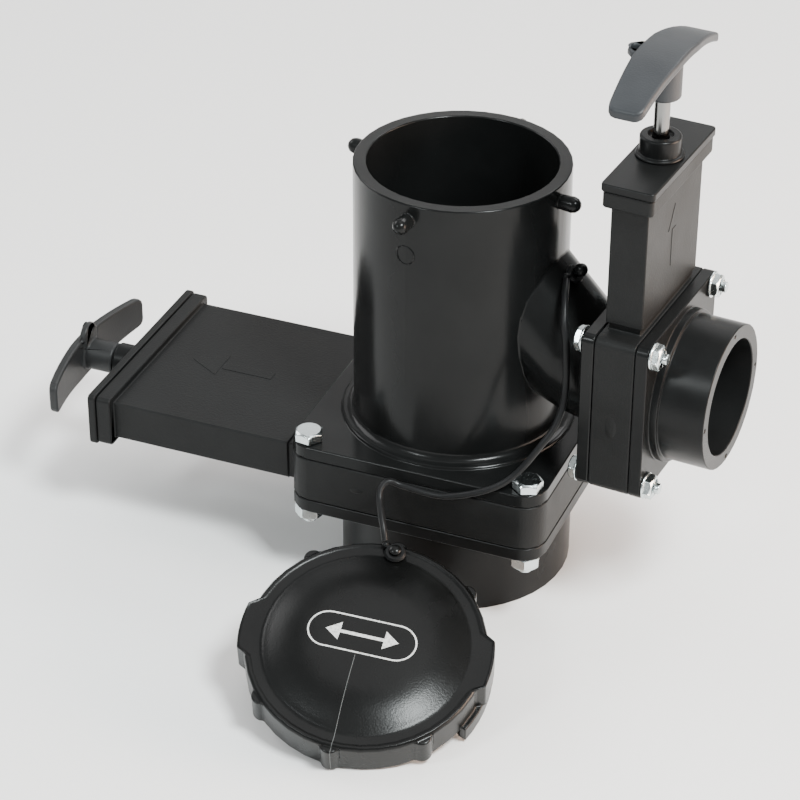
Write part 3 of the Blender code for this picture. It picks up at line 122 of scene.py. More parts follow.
# Small marks left by the moulds
TUBE_MARK_ANGLE = math.radians(-99.4)
TUBE_MARK_LEVEL = 0.1657
TUBE_MARK_RADIUS = 0.0040
TUBE_MARK_RISE = 0.0002
TUBE_MARK_LINE = 0.0003
TUBE_MARK_FOOT = -0.0001
TUBE_MARK_ROOT = -0.0012
STACK_MARK = (-0.0243, 0.0552)
STACK_MARK_SIZE = (0.0056, 0.0026)
SIDE_MARK = (0.0840, -0.0040)
SIDE_MARK_SIZE = (0.0050, 0.0100)
MARK_RISE = 0.0003
MOUND_PROFILE = ((0, 1.0), (0.5, 0.9), (0.8, 0.55), (1.0, 0), (1.0, -2.0), (0, -2.0))

# Low arrows on the housings; head and shaft are shares of the arrow's length
ARROW_RISE = 0.00016
HEAD_RADIUS = 0.28
HEAD_PLACE = 0.36
SHAFT_RADIUS = 0.11
SHAFT_STRETCH = 4.4
SHAFT_PLACE = -0.15
MAIN_ARROW_LENGTH = 0.034
MAIN_ARROW_REACH = 0.103
SIDE_ARROW_LENGTH = 0.024
SIDE_ARROW_RISE = 0.066
MAIN_HOUSING_TOP = 0.0650
SIDE_HOUSING_FACE = 0.0917

# Notches in the side hub's end
NOTCH_RADIUS = 0.0281
NOTCH_SIZE = 0.0008

# Cap's sign and seam, with the seam's painted highlight, in the cap's frame
SIGN_MIDDLE = (-0.0014, 0.0005)
SIGN_TURN = math.radians(-12.4)
SEAM_START = (-0.0037, -0.0084)
SEAM_END = (-0.0121, -0.0523)
SEAM_HALF_WIDTH = 0.00012
SEAM_RISE = 0.00012
BEAD_WIDTH = 0.0016
VALLEY_DEPTH = 0.0008
FLAT_SHARE = 0.999
PILL_HALF_LENGTH = 0.0140
PILL_RADIUS = 0.0080
PILL_LINE = 0.00035
SIGN_COLOUR = (0.62, 0.63, 0.62)
# The seam's lighter grey is a painted highlight, light caught on its ridge; the ridge itself is a bump.
SEAM_HIGHLIGHT_COLOUR = (0.20, 0.21, 0.21)
SEAM_HIGHLIGHT_COVER = 0.5
ARROW_SHAFT = 0.0007
ARROW_NECK = 0.0090
ARROW_TIP = 0.0150
ARROW_SPREAD = 0.70

# Tether, its route in the frame of the pipe's axis
TETHER_RADIUS = 0.0014
TETHER_ROUTE = (
    (0.0499, -0.0127, 0.1504),
    (0.0523, -0.0208, 0.1472),
    (0.0548, -0.0282, 0.1402),
    (0.0571, -0.0315, 0.1310),
    (0.0586, -0.0350, 0.1125),
    (0.0574, -0.0410, 0.1008),
    (0.0526, -0.0468, 0.0916),
    (0.0440, -0.0528, 0.0792),
    (0.0330, -0.0566, 0.0716),
    (0.0153, -0.0568, 0.0645),
    (-0.0015, -0.0572, 0.0652),
    (-0.0076, -0.0590, 0.0672),
    (-0.0098, -0.0622, 0.0652),
    (-0.0090, -0.0657, 0.0617),
    (-0.0062, -0.0708, 0.0588),
    (-0.0036, -0.0748, 0.0553),
    (-0.0017, -0.0776, 0.0513),
)

# Dust on the moulded plastics
DUST_COLOUR = (0.16, 0.16, 0.155)
DUST_COVER = 0.10
DUST_DULLING = 0.15

# Studio
FLOOR_SIZE = 6.0
FLOOR_AHEAD = 1.0
BACKDROP_START = 3.5
BACKDROP_HEIGHT = 3.0
SWEEP_RADIUS = 1.2
LIGHT_LEVEL = 0.10
AIR_STRENGTH = 0.50
WHITE = (1.0, 1.0, 1.0)
COOL = (0.94, 1.0, 1.0)
WARM = (1.0, 0.74, 0.58)
SOFTBOXES = (
    ("key_right", (0.85, -0.50, 1.45), (0.38, 0.38), 50.0, COOL),
    ("front_left", (-0.62, -1.25, 1.22), (0.34, 0.34), 12.0, COOL),
    ("far_left", (-2.0, 0.4, 1.5), (1.2, 1.2), 24.0, WHITE),
    ("back_top", (0.6, 2.0, 2.2), (1.6, 0.9), 34.0, WHITE),
    ("right_warm", (1.4, 0.30, 0.36), (0.9, 0.7), 44.0, WARM),
    ("back_left", (-0.72, 1.86, 1.38), (1.6, 1.2), 5.5, WHITE),
    ("overhead", (0.0, 0.4, 2.6), (1.5, 1.5), 12.0, WHITE),
)


# Shader maths
class Flow:
    """A value on its way through a finish's nodes, for use in Python expressions."""

    def __init__(self, finish, socket):
        self.finish = finish
        self.socket = socket

    def maths(self, operation, other=None, swapped=False):
        values = [self] if other is None else [self, other]
        if swapped:
            values.reverse()
        return self.finish.add("ShaderNodeMath", {"operation": operation}, dict(enumerate(values)))

    def __add__(self, other):
        return self.maths("ADD", other)

    def __sub__(self, other):
        return self.maths("SUBTRACT", other)

    def __mul__(self, other):
        return self.maths("MULTIPLY", other)

    def __rsub__(self, other):
        return self.maths("SUBTRACT", other, swapped=True)

    def __lt__(self, other):
        return self.maths("LESS_THAN", other)

    def __gt__(self, other):
        return self.maths("GREATER_THAN", other)

    def __pow__(self, other):
        return self.maths("POWER", other)

    def __abs__(self):
        return self.maths("ABSOLUTE")

    def most(self, other):
        return self.maths("MAXIMUM", other)


class Finish:
    """One material: a Principled shader and the nodes that feed it."""

    def __init__(self, name, **shader):
        self.material = bpy.data.materials.new(name)
        self.material.use_nodes = True
        self.nodes = self.material.node_tree.nodes
        self.links = self.material.node_tree.links
        sockets = self.nodes["Principled BSDF"].inputs
        self.sockets = {socket.name.lower().replace(" ", "_"): socket for socket in sockets}
        self.set(**shader)

    def feed(self, socket, value):
        if isinstance(value, Flow):
            self.links.new(value.socket, socket)
        elif isinstance(value, tuple) and len(value) == 3 and socket.type == "RGBA":
            socket.default_value = (*value, 1.0)
        else:
            socket.default_value = value

    def add(self, kind, settings=None, inputs=None, output=0):
        """Add a node: its settings first, then its sockets' values or links."""
        node = self.nodes.new(kind)
        for name, value in (settings or {}).items():
            if name == "stops":
                self.set_stops(node.color_ramp, value)
            else:
                setattr(node, name, value)
        for name, value in (inputs or {}).items():
            self.feed(node.inputs[name], value)
        return Flow(self, node.outputs[output])

    def set_stops(self, ramp, stops):
        while len(ramp.elements) < len(stops):
            ramp.elements.new(1.0)
        for element, (place, shade) in zip(ramp.elements, stops):
            element.position = place
            element.color = (shade, shade, shade, 1.0)

    def place(self, matrix=None):
        """The piece's own coordinates, or those of a frame given by its matrix."""
        spot = self.add("ShaderNodeTexCoord", output="Object")
        if matrix is None:
            return spot
        back = matrix.inverted()
        return self.add("ShaderNodeMapping", {"vector_type": "POINT"},
                        {"Vector": spot, "Location": back.translation, "Rotation": back.to_euler()})

    def parts(self, vector):
        """The three numbers of a vector."""
        node = self.nodes.new("ShaderNodeSeparateXYZ")
        self.links.new(vector.socket, node.inputs[0])
        return [Flow(self, node.outputs[axis]) for axis in range(3)]

    def noise(self, vector, scale, detail=2.0, roughness=0.5):
        return self.add("ShaderNodeTexNoise", {"noise_dimensions": "3D"},
                        {"Vector": vector, "Scale": scale, "Detail": detail, "Roughness": roughness})

    def ramp(self, value, *stops):
        return self.add("ShaderNodeValToRGB", {"stops": stops}, {"Fac": value})

    def mix(self, share, first, second):
        """A colour between two colours."""
        node = self.nodes.new("ShaderNodeMix")
        node.data_type = "RGBA"
        for socket, value in ((node.inputs["Factor"], share), (node.inputs[6], first),
                              (node.inputs[7], second)):
            self.feed(socket, value)
        return Flow(self, node.outputs[2])

    def bump(self, height, distance, strength=1.0, normal=None):
        inputs = {"Height": height, "Distance": distance, "Strength": strength}
        if normal:
            inputs["Normal"] = normal
        return self.add("ShaderNodeBump", None, inputs)

    def set(self, **shader):
        for name, value in shader.items():
            self.feed(self.sockets[name], value)
        return self


def moulded(name, dark, light, gloss, dull, grain, grain_depth, wave_depth, shine=0.13):
    """A moulded plastic: uneven gloss, slow waves in its skin, a fine grain and a little dust."""
    look = Finish(name, ior=1.5, specular_ior_level=shine)
    spot = look.place()
    cloud = look.noise(spot, 38.0, 4.0)
    speck = look.noise(spot, 2600.0, 1.0)
    dust = look.ramp(speck, (0.70, 0.0), (0.78, 1.0)) * look.ramp(cloud, (0.45, 0.0), (0.7, 0.6))
    colour = look.mix(look.ramp(cloud, (0.35, 0.0), (0.68, 1.0)), dark, light)
    look.set(base_color=look.mix(dust * DUST_COVER, colour, DUST_COLOUR))
    look.set(roughness=look.ramp(cloud, (0.3, gloss), (0.75, dull)) + dust * DUST_DULLING)
    waves = look.bump(look.noise(spot, 22.0, 1.0), wave_depth)
    look.set(normal=look.bump(look.noise(spot, grain, 2.0), grain_depth, 1.0, waves))
    return look


def make_finishes():
    looks = {
        "gloss": moulded("glossy_black_abs", (0.0052, 0.0055, 0.0055), (0.0075, 0.0078, 0.0078),
                         0.17, 0.24, 900.0, 0.00001, 0.0006),
        "satin": moulded("satin_black_abs", (0.0052, 0.0054, 0.0055), (0.0078, 0.0081, 0.0082),
                         0.27, 0.38, 1300.0, 0.00002, 0.0004),
        "charcoal": moulded("textured_charcoal_abs", (0.0060, 0.0062, 0.0062), (0.0094, 0.0097, 0.0097),
                            0.40, 0.52, 1300.0, 0.00010, 0.0003, 0.14),
        "dark_handle": moulded("black_handle_plastic", (0.0150, 0.0153, 0.0156), (0.0210, 0.0214, 0.0218),
                               0.36, 0.48, 1300.0, 0.00006, 0.0003, 0.20),
        "handle": moulded("slate_grey_plastic", (0.0205, 0.0224, 0.0252), (0.0285, 0.0308, 0.0340),
                          0.36, 0.48, 1300.0, 0.00007, 0.0003, 0.26),
        "blade": moulded("blade_plastic", (0.0200, 0.0210, 0.0220), (0.0260, 0.0270, 0.0280),
                         0.38, 0.48, 1100.0, 0.00002, 0.0003),
        "tether": moulded("tether_plastic", (0.0070, 0.0072, 0.0075), (0.0100, 0.0102, 0.0106),
                          0.30, 0.38, 1600.0, 0.00001, 0.0002),
    }
    looks["cap"] = cap_finish()
    looks["rubber"] = rubber_finish()
    looks["steel"] = steel_finish()
    looks["zinc"] = zinc_finish()
    return looks


def cap_finish():
    """The cap's satin plastic, with a printed turn sign and the fine raised line of its moulding seam,
    coloured lighter along it as a painted highlight.
    """
    look = moulded("satin_cap_abs", (0.0026, 0.0028, 0.0028), (0.0044, 0.0047, 0.0047),
                   0.25, 0.31, 1400.0, 0.00005, 0.0003, 0.20)
    across, along, _ = look.parts(look.place(CAP_FRAME))
    sign = turn_sign(across - SIGN_MIDDLE[0], along - SIGN_MIDDLE[1])
    worn = look.ramp(look.noise(look.place(), 900.0, 3.0), (0.30, 0.55), (0.55, 1.0))
    seam = seam_line(across, along)
    plastic = look.sockets["base_color"].links[0].from_socket
    # Painted highlight: the seam's line is mixed towards a lighter grey, as if its ridge caught the
    # light.
    colour = look.mix(seam * SEAM_HIGHLIGHT_COVER, Flow(look, plastic), SEAM_HIGHLIGHT_COLOUR)
    look.set(base_color=look.mix(sign * worn, colour, SIGN_COLOUR))
    skin = look.sockets["normal"].links[0].from_socket
    return look.set(normal=look.bump(seam, SEAM_RISE, 1.0, Flow(look, skin)))


def turn_sign(across, along):
    """A pill with an arrow to either side: one where the print is, none elsewhere."""
    u = across * math.cos(SIGN_TURN) + along * math.sin(SIGN_TURN)
    v = along * math.cos(SIGN_TURN) - across * math.sin(SIGN_TURN)
    beyond = (abs(u) - PILL_HALF_LENGTH).most(0.0)
    rim = abs((beyond * beyond + v * v) ** 0.5 - PILL_RADIUS) < PILL_LINE
    shaft = (abs(v) < ARROW_SHAFT) * (abs(u) < ARROW_NECK)
    heads = (abs(v) < (ARROW_TIP - abs(u)) * ARROW_SPREAD) * (abs(u) > ARROW_NECK)
    return rim.most(shaft).most(heads)


def seam_line(across, along):
    """The seam that runs from the cap's middle to its near edge: the mask for its raised ridge and for
    its painted highlight.
    """
    run = Vector(SEAM_END) - Vector(SEAM_START)
    step = run.normalized()
    ahead = (across - SEAM_START[0]) * step.x + (along - SEAM_START[1]) * step.y
    aside = (across - SEAM_START[0]) * step.y - (along - SEAM_START[1]) * step.x
    return (abs(aside) < SEAM_HALF_WIDTH) * (ahead > 0.0)


def rubber_finish():
    look = Finish("seal_rubber", roughness=0.78)
    grain = look.noise(look.place(), 1400.0, 3.0)
    look.set(base_color=look.mix(grain, (0.010, 0.010, 0.010), (0.022, 0.022, 0.021)))
    return look.set(normal=look.bump(grain, 0.00005))


def steel_finish():
    """Drawn stainless bar: fine rings from its turning and drawing."""
    look = Finish("stainless_steel", metallic=1.0)
    spot = look.place()
    drawn = look.noise(spot, 4200.0, 3.0)
    look.set(base_color=look.mix(drawn, (0.15, 0.15, 0.145), (0.24, 0.24, 0.235)))
    look.set(roughness=drawn * 0.14 + 0.10)
    return look.set(normal=look.bump(drawn, 0.00001))


def zinc_finish():
    """Bright zinc plating: a faint blue cast, cloudy gloss and small pits."""
    look = Finish("bright_zinc_plating", metallic=1.0)
    spot = look.place()
    cloud = look.noise(spot, 420.0, 5.0, 0.6)
    look.set(base_color=look.mix(cloud, (0.56, 0.62, 0.63), (0.66, 0.71, 0.71)))
    look.set(roughness=look.ramp(cloud, (0.3, 0.18), (0.72, 0.30)))
    return look.set(normal=look.bump(look.noise(spot, 1500.0, 4.0), 0.000012))


# Modelling helpers
def take(*pieces):
    """Select these pieces alone, the first of them active."""
    bpy.ops.object.select_all(action="DESELECT")
    for piece in pieces:
        piece.select_set(True)
    bpy.context.view_layer.objects.active = pieces[0]


def apply_all(piece):
    take(piece)
    for step in list(piece.modifiers):
        bpy.ops.object.modifier_apply(modifier=step.name)


BODIES = {node: body for body, nodes in frame["record"]["behaviour"]["bodies"].items()
          for node in nodes}


def belongs(piece, node, look):
    """Dress a finished piece that stands for a CAD node, and let it ride on that node's body."""
    added(piece, node, look)
    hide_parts(node)
    return piece


def skin_of(node):
    """A merged copy of a CAD node's mesh, its flat faces whole again."""
    piece = bpy.data.objects.new(f"{node}_moulded", frame["nodes"][node].data.copy())
    bpy.context.scene.collection.objects.link(piece)
    take(piece)
    bpy.ops.mesh.customdata_custom_splitnormals_clear()
    bpy.ops.object.mode_set(mode="EDIT")
    bpy.ops.mesh.select_all(action="SELECT")
    bpy.ops.mesh.remove_doubles(threshold=MERGE)
    bpy.ops.mesh.dissolve_limited(angle_limit=FLAT)
    bpy.ops.object.mode_set(mode="OBJECT")
    return piece


def soften(piece, width, segments=2, limit="ANGLE"):
    """Round the piece's sharp edges."""
    edges = piece.modifiers.new("soft_edges", "BEVEL")
    edges.width = width
    edges.segments = segments
    edges.limit_method = limit
    edges.angle_limit = EDGE_ANGLE
    edges.use_clamp_overlap = False
    edges.miter_outer = "MITER_ARC"
    shade = piece.modifiers.new("even_shading", "WEIGHTED_NORMAL")
    shade.keep_sharp = True
    apply_all(piece)
    return piece


def smooth(piece, angle=SMOOTH_ANGLE):
    take(piece)
    bpy.ops.object.shade_smooth_by_angle(angle=angle)
    return piece


def dressed(node, look, width, segments=2):
    """A CAD node with its edges rounded and its real finish."""
    piece = smooth(skin_of(node))
    if width:
        soften(piece, width, segments)
    return belongs(piece, node, look)


def dressed_gate(side, axes, deep, look, width):
    """A valve body with its outer edges rounded; those of the hollow round its blade stay sharp."""
    body = smooth(skin_of(f"{side}_valve_body"))
    low, high = extent(f"{side}_blade", axes)
    middle = (low + high) / 2
    room = (high.y - low.y) / 2 + HOLLOW_PLAY
    back = axes.inverted()
    weights = body.data.attributes.new("bevel_weight_edge", "FLOAT", "EDGE")
    for edge in body.data.edges:
        offsets = [back @ body.data.vertices[end].co - middle for end in edge.vertices]
        hidden = all(abs(offset.y) < room and abs(offset[deep]) < HOLLOW_DEPTH for offset in offsets)
        weights.data[edge.index].value = float(edge.use_edge_sharp and not hidden)
    soften(body, width, limit="WEIGHT")
    return belongs(body, f"{side}_valve_body", look)


def added(piece, node, look):
    """A finished detail that rides with a CAD node and leaves it showing."""
    piece.data.materials.clear()
    piece.data.materials.append(look.material)
    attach(piece, BODIES[node])
    return piece


def placed(piece, matrix):
    piece.data.transform(matrix)
    return piece


def copy_of(piece, name, matrix):
    twin = bpy.data.objects.new(name, piece.data.copy())
    bpy.context.scene.collection.objects.link(twin)
    return placed(twin, matrix)


def bar(name, sides, radius, low, high):
    """An upright bar with this many sides."""
    bpy.ops.object.select_all(action="DESELECT")
    bpy.ops.mesh.primitive_cylinder_add(vertices=sides, radius=radius, depth=high - low,
                                        location=(0, 0, (low + high) / 2))
    bpy.ops.object.transform_apply(location=True)
    bpy.context.object.name = name
    return bpy.context.object


def turned(name, profile, steps=40):
    """A profile of radii and heights, drawn by extruding and spun about Z."""
    bpy.ops.object.select_all(action="DESELECT")
    radius, height = profile[0]
    bpy.ops.mesh.primitive_plane_add(size=MERGE, location=(radius, 0, height))
    bpy.ops.object.transform_apply(location=True)
    piece = bpy.context.object
    piece.name = name
    bpy.ops.object.mode_set(mode="EDIT")
    bpy.ops.mesh.select_mode(type="VERT")
    bpy.ops.mesh.select_all(action="SELECT")
    bpy.ops.mesh.merge(type="CENTER")
    for (radius, height), (next_radius, next_height) in zip(profile, profile[1:]):
        step = (next_radius - radius, 0, next_height - height)
        bpy.ops.mesh.extrude_vertices_move(TRANSFORM_OT_translate={"value": step})
    bpy.ops.mesh.select_all(action="SELECT")
    bpy.ops.mesh.spin(steps=steps, angle=math.tau, center=(0, 0, 0), axis=(0, 0, 1))
    bpy.ops.mesh.select_all(action="SELECT")
    bpy.ops.mesh.remove_doubles(threshold=MERGE)
    bpy.ops.mesh.normals_make_consistent(inside=False)
    bpy.ops.object.mode_set(mode="OBJECT")
    return piece


def combine(piece, tool, operation):
    """Join, cut or cross a piece with a tool, and drop the tool."""
    work = piece.modifiers.new("work", "BOOLEAN")
    work.operation = operation
    work.solver = "EXACT"
    work.object = tool
    apply_all(piece)
    bpy.data.objects.remove(tool)
    return piece


def extent(node, axes):
    """A CAD node's lowest and highest corner in a frame of its own."""
    back = axes.inverted()
    spots = [back @ vertex.co for vertex in frame["nodes"][node].data.vertices]
    return [Vector([pick(spot[axis] for spot in spots) for axis in range(3)]) for pick in (min, max)]


# Pieces that keep the CAD node's shape
def dress_mouldings(looks):
    dressed("tee_body", looks["gloss"], BODY_EDGE)
    dressed("main_hub_flange", looks["satin"], BODY_EDGE)
    notched_hub(looks["satin"])
    dressed_gate("main", Matrix.Identity(4), 2, looks["charcoal"], MAIN_GATE_EDGE)
    dressed_gate("side", SIDE_FRAME, 0, looks["charcoal"], SIDE_GATE_EDGE)
    dressed("main_housing_end_plate", looks["charcoal"], BODY_EDGE)
    dressed("side_housing_end_plate", looks["satin"], BODY_EDGE)
    lipped_gland("main", MAIN_SLIDE_AXES, looks["satin"])
    lipped_gland("side", Matrix.Identity(4), looks["satin"])
    beaded_cap(looks["cap"])
    dressed("main_handle", looks["dark_handle"], HANDLE_EDGE, 3)
    dressed("side_handle", looks["handle"], HANDLE_EDGE, 3)
    for node in ("main_blade", "side_blade"):
        dressed(node, looks["blade"], BLADE_EDGE)
    for node in ("main_rod", "side_rod", "main_rod_pin", "side_rod_pin"):
        dressed(node, looks["steel"], NO_EDGE)
    for node in ("main_seal_lower", "main_seal_upper", "side_seal_inner", "side_seal_outer",
                 "main_rod_seal", "side_rod_seal", "cap_seal"):
        dressed(node, looks["rubber"], NO_EDGE)
    for node in ("tether_tee_loop", "tether_cap_loop"):
        dressed(node, looks["tether"], NO_EDGE)


def lipped_gland(side, axes, look):
    """A gland with the lip that stands close round its rod and the low foot that it seats on."""
    gland = skin_of(f"{side}_gland")
    plate_top = extent(f"{side}_housing_end_plate", axes)[1].z
    low, high = extent(f"{side}_gland", axes)
    place = axes @ Matrix.Translation(((low.x + high.x) / 2, (low.y + high.y) / 2, 0))
    top = high.z - GLAND_LIP_DROP
    under = top - GLAND_LIP_HEIGHT
    lip = turned("lip", [(GLAND_LIP_INNER, top), (GLAND_LIP_OUTER, top), (GLAND_LIP_OUTER, under),
                         (GLAND_LIP_INNER, under), (GLAND_LIP_INNER, top)])
    combine(gland, placed(lip, place), "UNION")
    radius = (high.x - low.x) / 2
    seat = plate_top + GLAND_FOOT_GAP
    foot = turned("foot", [(radius - SPARE, seat), (radius + GLAND_FOOT_WIDTH, seat),
                           (radius + GLAND_FOOT_WIDTH, seat + GLAND_FOOT_HEIGHT / 2),
                           (radius + GLAND_FOOT_WIDTH / 2, seat + GLAND_FOOT_HEIGHT),
                           (radius - SPARE, seat + GLAND_FOOT_HEIGHT), (radius - SPARE, seat)])
    combine(gland, placed(foot, place), "UNION")
    belongs(soften(smooth(gland), GLAND_EDGE), f"{side}_gland", look)


def notched_hub(look):
    """The side hub with four small notches in its end face."""
    hub = skin_of("side_hub_flange")
    end = extent("side_hub_flange", SIDE_FRAME)[1].x
    for quarter in range(4):
        tool = bar("notch", 4, NOTCH_SIZE, -NOTCH_SIZE, NOTCH_SIZE)
        turn = Matrix.Rotation(quarter * math.pi / 2, 4, "X")
        placed(tool, SIDE_FRAME @ Matrix.Translation((end, 0, 0)) @ turn
               @ Matrix.Translation((0, NOTCH_RADIUS, 0)))
        combine(hub, tool, "DIFFERENCE")
    belongs(soften(smooth(hub), HUB_EDGE), "side_hub_flange", look)


def beaded_cap(look):
    """The cap, with a shallow valley pressed between its dome and the bead along its outline."""
    cap = skin_of("dust_cap")
    back = CAP_FRAME.inverted()
    up = CAP_FRAME.to_3x3() @ Vector((0, 0, 1))
    take(cap)
    bpy.ops.object.mode_set(mode="EDIT")
    bpy.ops.mesh.select_mode(type="FACE")
    bpy.ops.mesh.select_all(action="DESELECT")
    bpy.ops.object.mode_set(mode="OBJECT")
    for face in cap.data.polygons:
        face.select = face.normal.dot(up) > FLAT_SHARE and abs((back @ face.center).z) < MERGE * 3
    bpy.ops.object.mode_set(mode="EDIT")
    bpy.ops.mesh.inset(thickness=BEAD_WIDTH, use_boundary=True, use_even_offset=True)
    bpy.ops.transform.translate(value=up * -VALLEY_DEPTH)
    bpy.ops.object.mode_set(mode="OBJECT")
    belongs(soften(smooth(cap), CAP_EDGE, 3), "dust_cap", look)


# Fasteners
def hex_form(name, flats, height, flange):
    """A chamfered hexagon, on a round flange where it has one, its face at zero and its seat below."""
    corner = flats / 2 / math.cos(HEX_CORNER_ANGLE)
    start = HEX_FACE_SHARE * flats / 2
    wide = corner * CONE_REACH
    low = -height - SPARE
    piece = bar(name, 6, corner, -height, 0)
    cone = turned("chamfer", [(0, 0), (start, 0), (wide, (start - wide) * math.tan(HEX_CHAMFER)),
                              (wide, low), (0, low)], 72)
    combine(piece, cone, "INTERSECT")
    if flange:
        top = -height + FLANGE_THICKNESS
        skirt = turned("skirt", [(0, top), (corner, top), (flange, top - FLANGE_THICKNESS * FLANGE_EASE),
                                 (flange, -height), (0, -height)])
        combine(piece, skirt, "UNION")
    return soften(smooth(piece), HEX_EDGE, 2)


def bolt_form(name, sizes, length):
    """A hex bolt, hanging from its head's face at zero."""
    head = hex_form(name, sizes["flats"], sizes["head"], sizes["flange"])
    radius = sizes["shank"]
    inner = radius - THREAD_DEPTH
    low = -length
    profile = [(0, low), (inner, low)]
    for turn in range(THREAD_TURNS):
        level = low + (turn + 0.5) * THREAD_PITCH
        profile += [(radius, level), (inner, level + THREAD_PITCH / 2)]
    profile += [(radius, low + (THREAD_TURNS + 0.5) * THREAD_PITCH), (radius, -sizes["head"] / 2),
                (0, -sizes["head"] / 2)]
    shank = turned("shank", profile, 24)
    return smooth(combine(head, shank, "UNION"))


def nut_form(name, sizes):
    """A hex nut with a countersunk bore."""
    nut = hex_form(name, sizes["flats"], sizes["nut"], sizes["flange"])
    bore = sizes["shank"] + NUT_PLAY
    low = -sizes["nut"] - SPARE
    tool = turned("bore", [(0, low), (bore, low), (bore, -THREAD_PITCH), (bore + THREAD_PITCH, 0),
                           (bore + THREAD_PITCH, SPARE), (0, SPARE)], 24)
    return smooth(combine(nut, tool, "DIFFERENCE"))


def build_fasteners(side, axes, sizes, look):
    """Four bolts and nuts of one stack, in axes whose Z points from the nuts to the heads."""
    low, high = extent(f"{side}_bolt_1", axes)
    bolt = bolt_form("bolt_pattern", sizes, high.z - low.z)
    nut = nut_form("nut_pattern", sizes)
    flip = Matrix.Rotation(math.pi, 4, "X")
    for number in range(1, 5):
        low, high = extent(f"{side}_bolt_{number}", axes)
        nut_low = extent(f"{side}_nut_{number}", axes)[0]
        middle = (low + high) / 2
        head_place = Matrix.Translation((middle.x, middle.y, high.z))
        nut_place = Matrix.Translation((middle.x, middle.y, nut_low.z)) @ flip
        head_turn = Matrix.Rotation(math.radians(BOLT_TURNS[number - 1]), 4, "Z")
        nut_turn = Matrix.Rotation(math.radians(NUT_TURNS[number - 1]), 4, "Z")
        belongs(copy_of(bolt, f"{side}_bolt_{number}_rolled", axes @ head_place @ head_turn),
                f"{side}_bolt_{number}", look)
        belongs(copy_of(nut, f"{side}_nut_{number}_faced", axes @ nut_place @ nut_turn),
                f"{side}_nut_{number}", look)
    bpy.data.objects.remove(bolt)
    bpy.data.objects.remove(nut)


# Marks of the moulds
def low_mound(name, width, height, rise):
    """An oval mound with a soft rim, its foot sunk below zero."""
    mound = turned(name, [(radius, level * rise) for radius, level in MOUND_PROFILE], 28)
    bpy.ops.object.mode_set(mode="EDIT")
    bpy.ops.mesh.select_all(action="SELECT")
    bpy.ops.transform.resize(value=(width / 2, height / 2, 1))
    bpy.ops.object.mode_set(mode="OBJECT")
    return smooth(mound)


def pull_arrow(name, length):
    """A raised arrow along +X that shows which way the handle is pulled."""
    ahead = Matrix.Rotation(math.radians(-90.0), 4, "Z")
    head = bar(name, 3, length * HEAD_RADIUS, -ARROW_RISE * 2, ARROW_RISE)
    placed(head, Matrix.Translation((length * HEAD_PLACE, 0, 0)) @ ahead)
    shaft = bar("shaft", 4, length * SHAFT_RADIUS, -ARROW_RISE * 2, ARROW_RISE)
    placed(shaft, Matrix.Diagonal((SHAFT_STRETCH, 1, 1, 1)) @ Matrix.Rotation(math.radians(45.0), 4, "Z"))
    placed(shaft, Matrix.Translation((length * SHAFT_PLACE, 0, 0)))
    return soften(smooth(combine(head, shaft, "UNION")), ARROW_RISE / 3, 2)


def round_mark(name):
    """A thin raised ring, its root sunk below zero."""
    inner = TUBE_MARK_RADIUS - TUBE_MARK_LINE
    outer = TUBE_MARK_RADIUS + TUBE_MARK_LINE
    crest = (TUBE_MARK_RADIUS, TUBE_MARK_RISE)
    return smooth(turned(name, [crest, (outer, TUBE_MARK_FOOT), (outer, TUBE_MARK_ROOT),
                                (inner, TUBE_MARK_ROOT), (inner, TUBE_MARK_FOOT), crest], 32))


def build_marks(looks):
    outward = Matrix.Rotation(math.pi / 2, 4, "Y")
    forward = Matrix.Rotation(math.pi / 2, 4, "X")
    half_turn = Matrix.Rotation(math.pi, 4, "Z")
    move = Matrix.Translation
    main_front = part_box("main_valve_body")[0].y
    side_front = extent("side_valve_body", SIDE_FRAME)[0].y

    ring = round_mark("tube_round_mark")
    placed(ring, move(PIPE + Vector((0, 0, TUBE_MARK_LEVEL))) @ Matrix.Rotation(TUBE_MARK_ANGLE, 4, "Z")
           @ move((PIPE_RADIUS, 0, 0)) @ outward)
    added(ring, "tee_body", looks["gloss"])

    stack_marks = (
        (low_mound("stack_gate_mark", *STACK_MARK_SIZE, MARK_RISE), "main_valve_body",
         move((PIPE.x + STACK_MARK[0], main_front, STACK_MARK[1])) @ forward),
        (low_mound("side_gate_mark", *SIDE_MARK_SIZE, MARK_RISE), "side_valve_body",
         SIDE_FRAME @ move((SIDE_MARK[0], side_front, SIDE_MARK[1])) @ forward),
        (pull_arrow("main_pull_arrow", MAIN_ARROW_LENGTH), "main_valve_body",
         move((PIPE.x - MAIN_ARROW_REACH, PIPE.y, MAIN_HOUSING_TOP)) @ half_turn),
        (pull_arrow("side_pull_arrow", SIDE_ARROW_LENGTH), "side_valve_body",
         SIDE_FRAME @ move((SIDE_HOUSING_FACE, 0, SIDE_ARROW_RISE)) @ outward @ half_turn),
    )
    for mark, node, place in stack_marks:
        added(placed(mark, place), node, looks["charcoal"])


# Tether
def build_tether(look):
    """The tether as one smooth curve from the tee's stud to the cap, with evenly set handles."""
    line = bpy.data.curves.new("tether_cord", "CURVE")
    line.dimensions = "3D"
    line.bevel_depth = TETHER_RADIUS
    line.bevel_resolution = 5
    line.resolution_u = 8
    line.use_fill_caps = True
    stations = [Vector(point) + PIPE for point in TETHER_ROUTE]
    ends = [stations[0] * 2 - stations[1]] + stations + [stations[-1] * 2 - stations[-2]]
    spline = line.splines.new("BEZIER")
    spline.bezier_points.add(len(stations) - 1)
    for index, knot in enumerate(spline.bezier_points):
        reach = (ends[index + 2] - ends[index]) / 6
        knot.handle_left_type = "FREE"
        knot.handle_right_type = "FREE"
        knot.co = stations[index]
        knot.handle_left = stations[index] - reach
        knot.handle_right = stations[index] + reach
    line.materials.append(look.material)
    cord = bpy.data.objects.new("tether_cord", line)
    bpy.context.scene.collection.objects.link(cord)
    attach(cord, BODIES["tether"])
    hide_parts("tether")


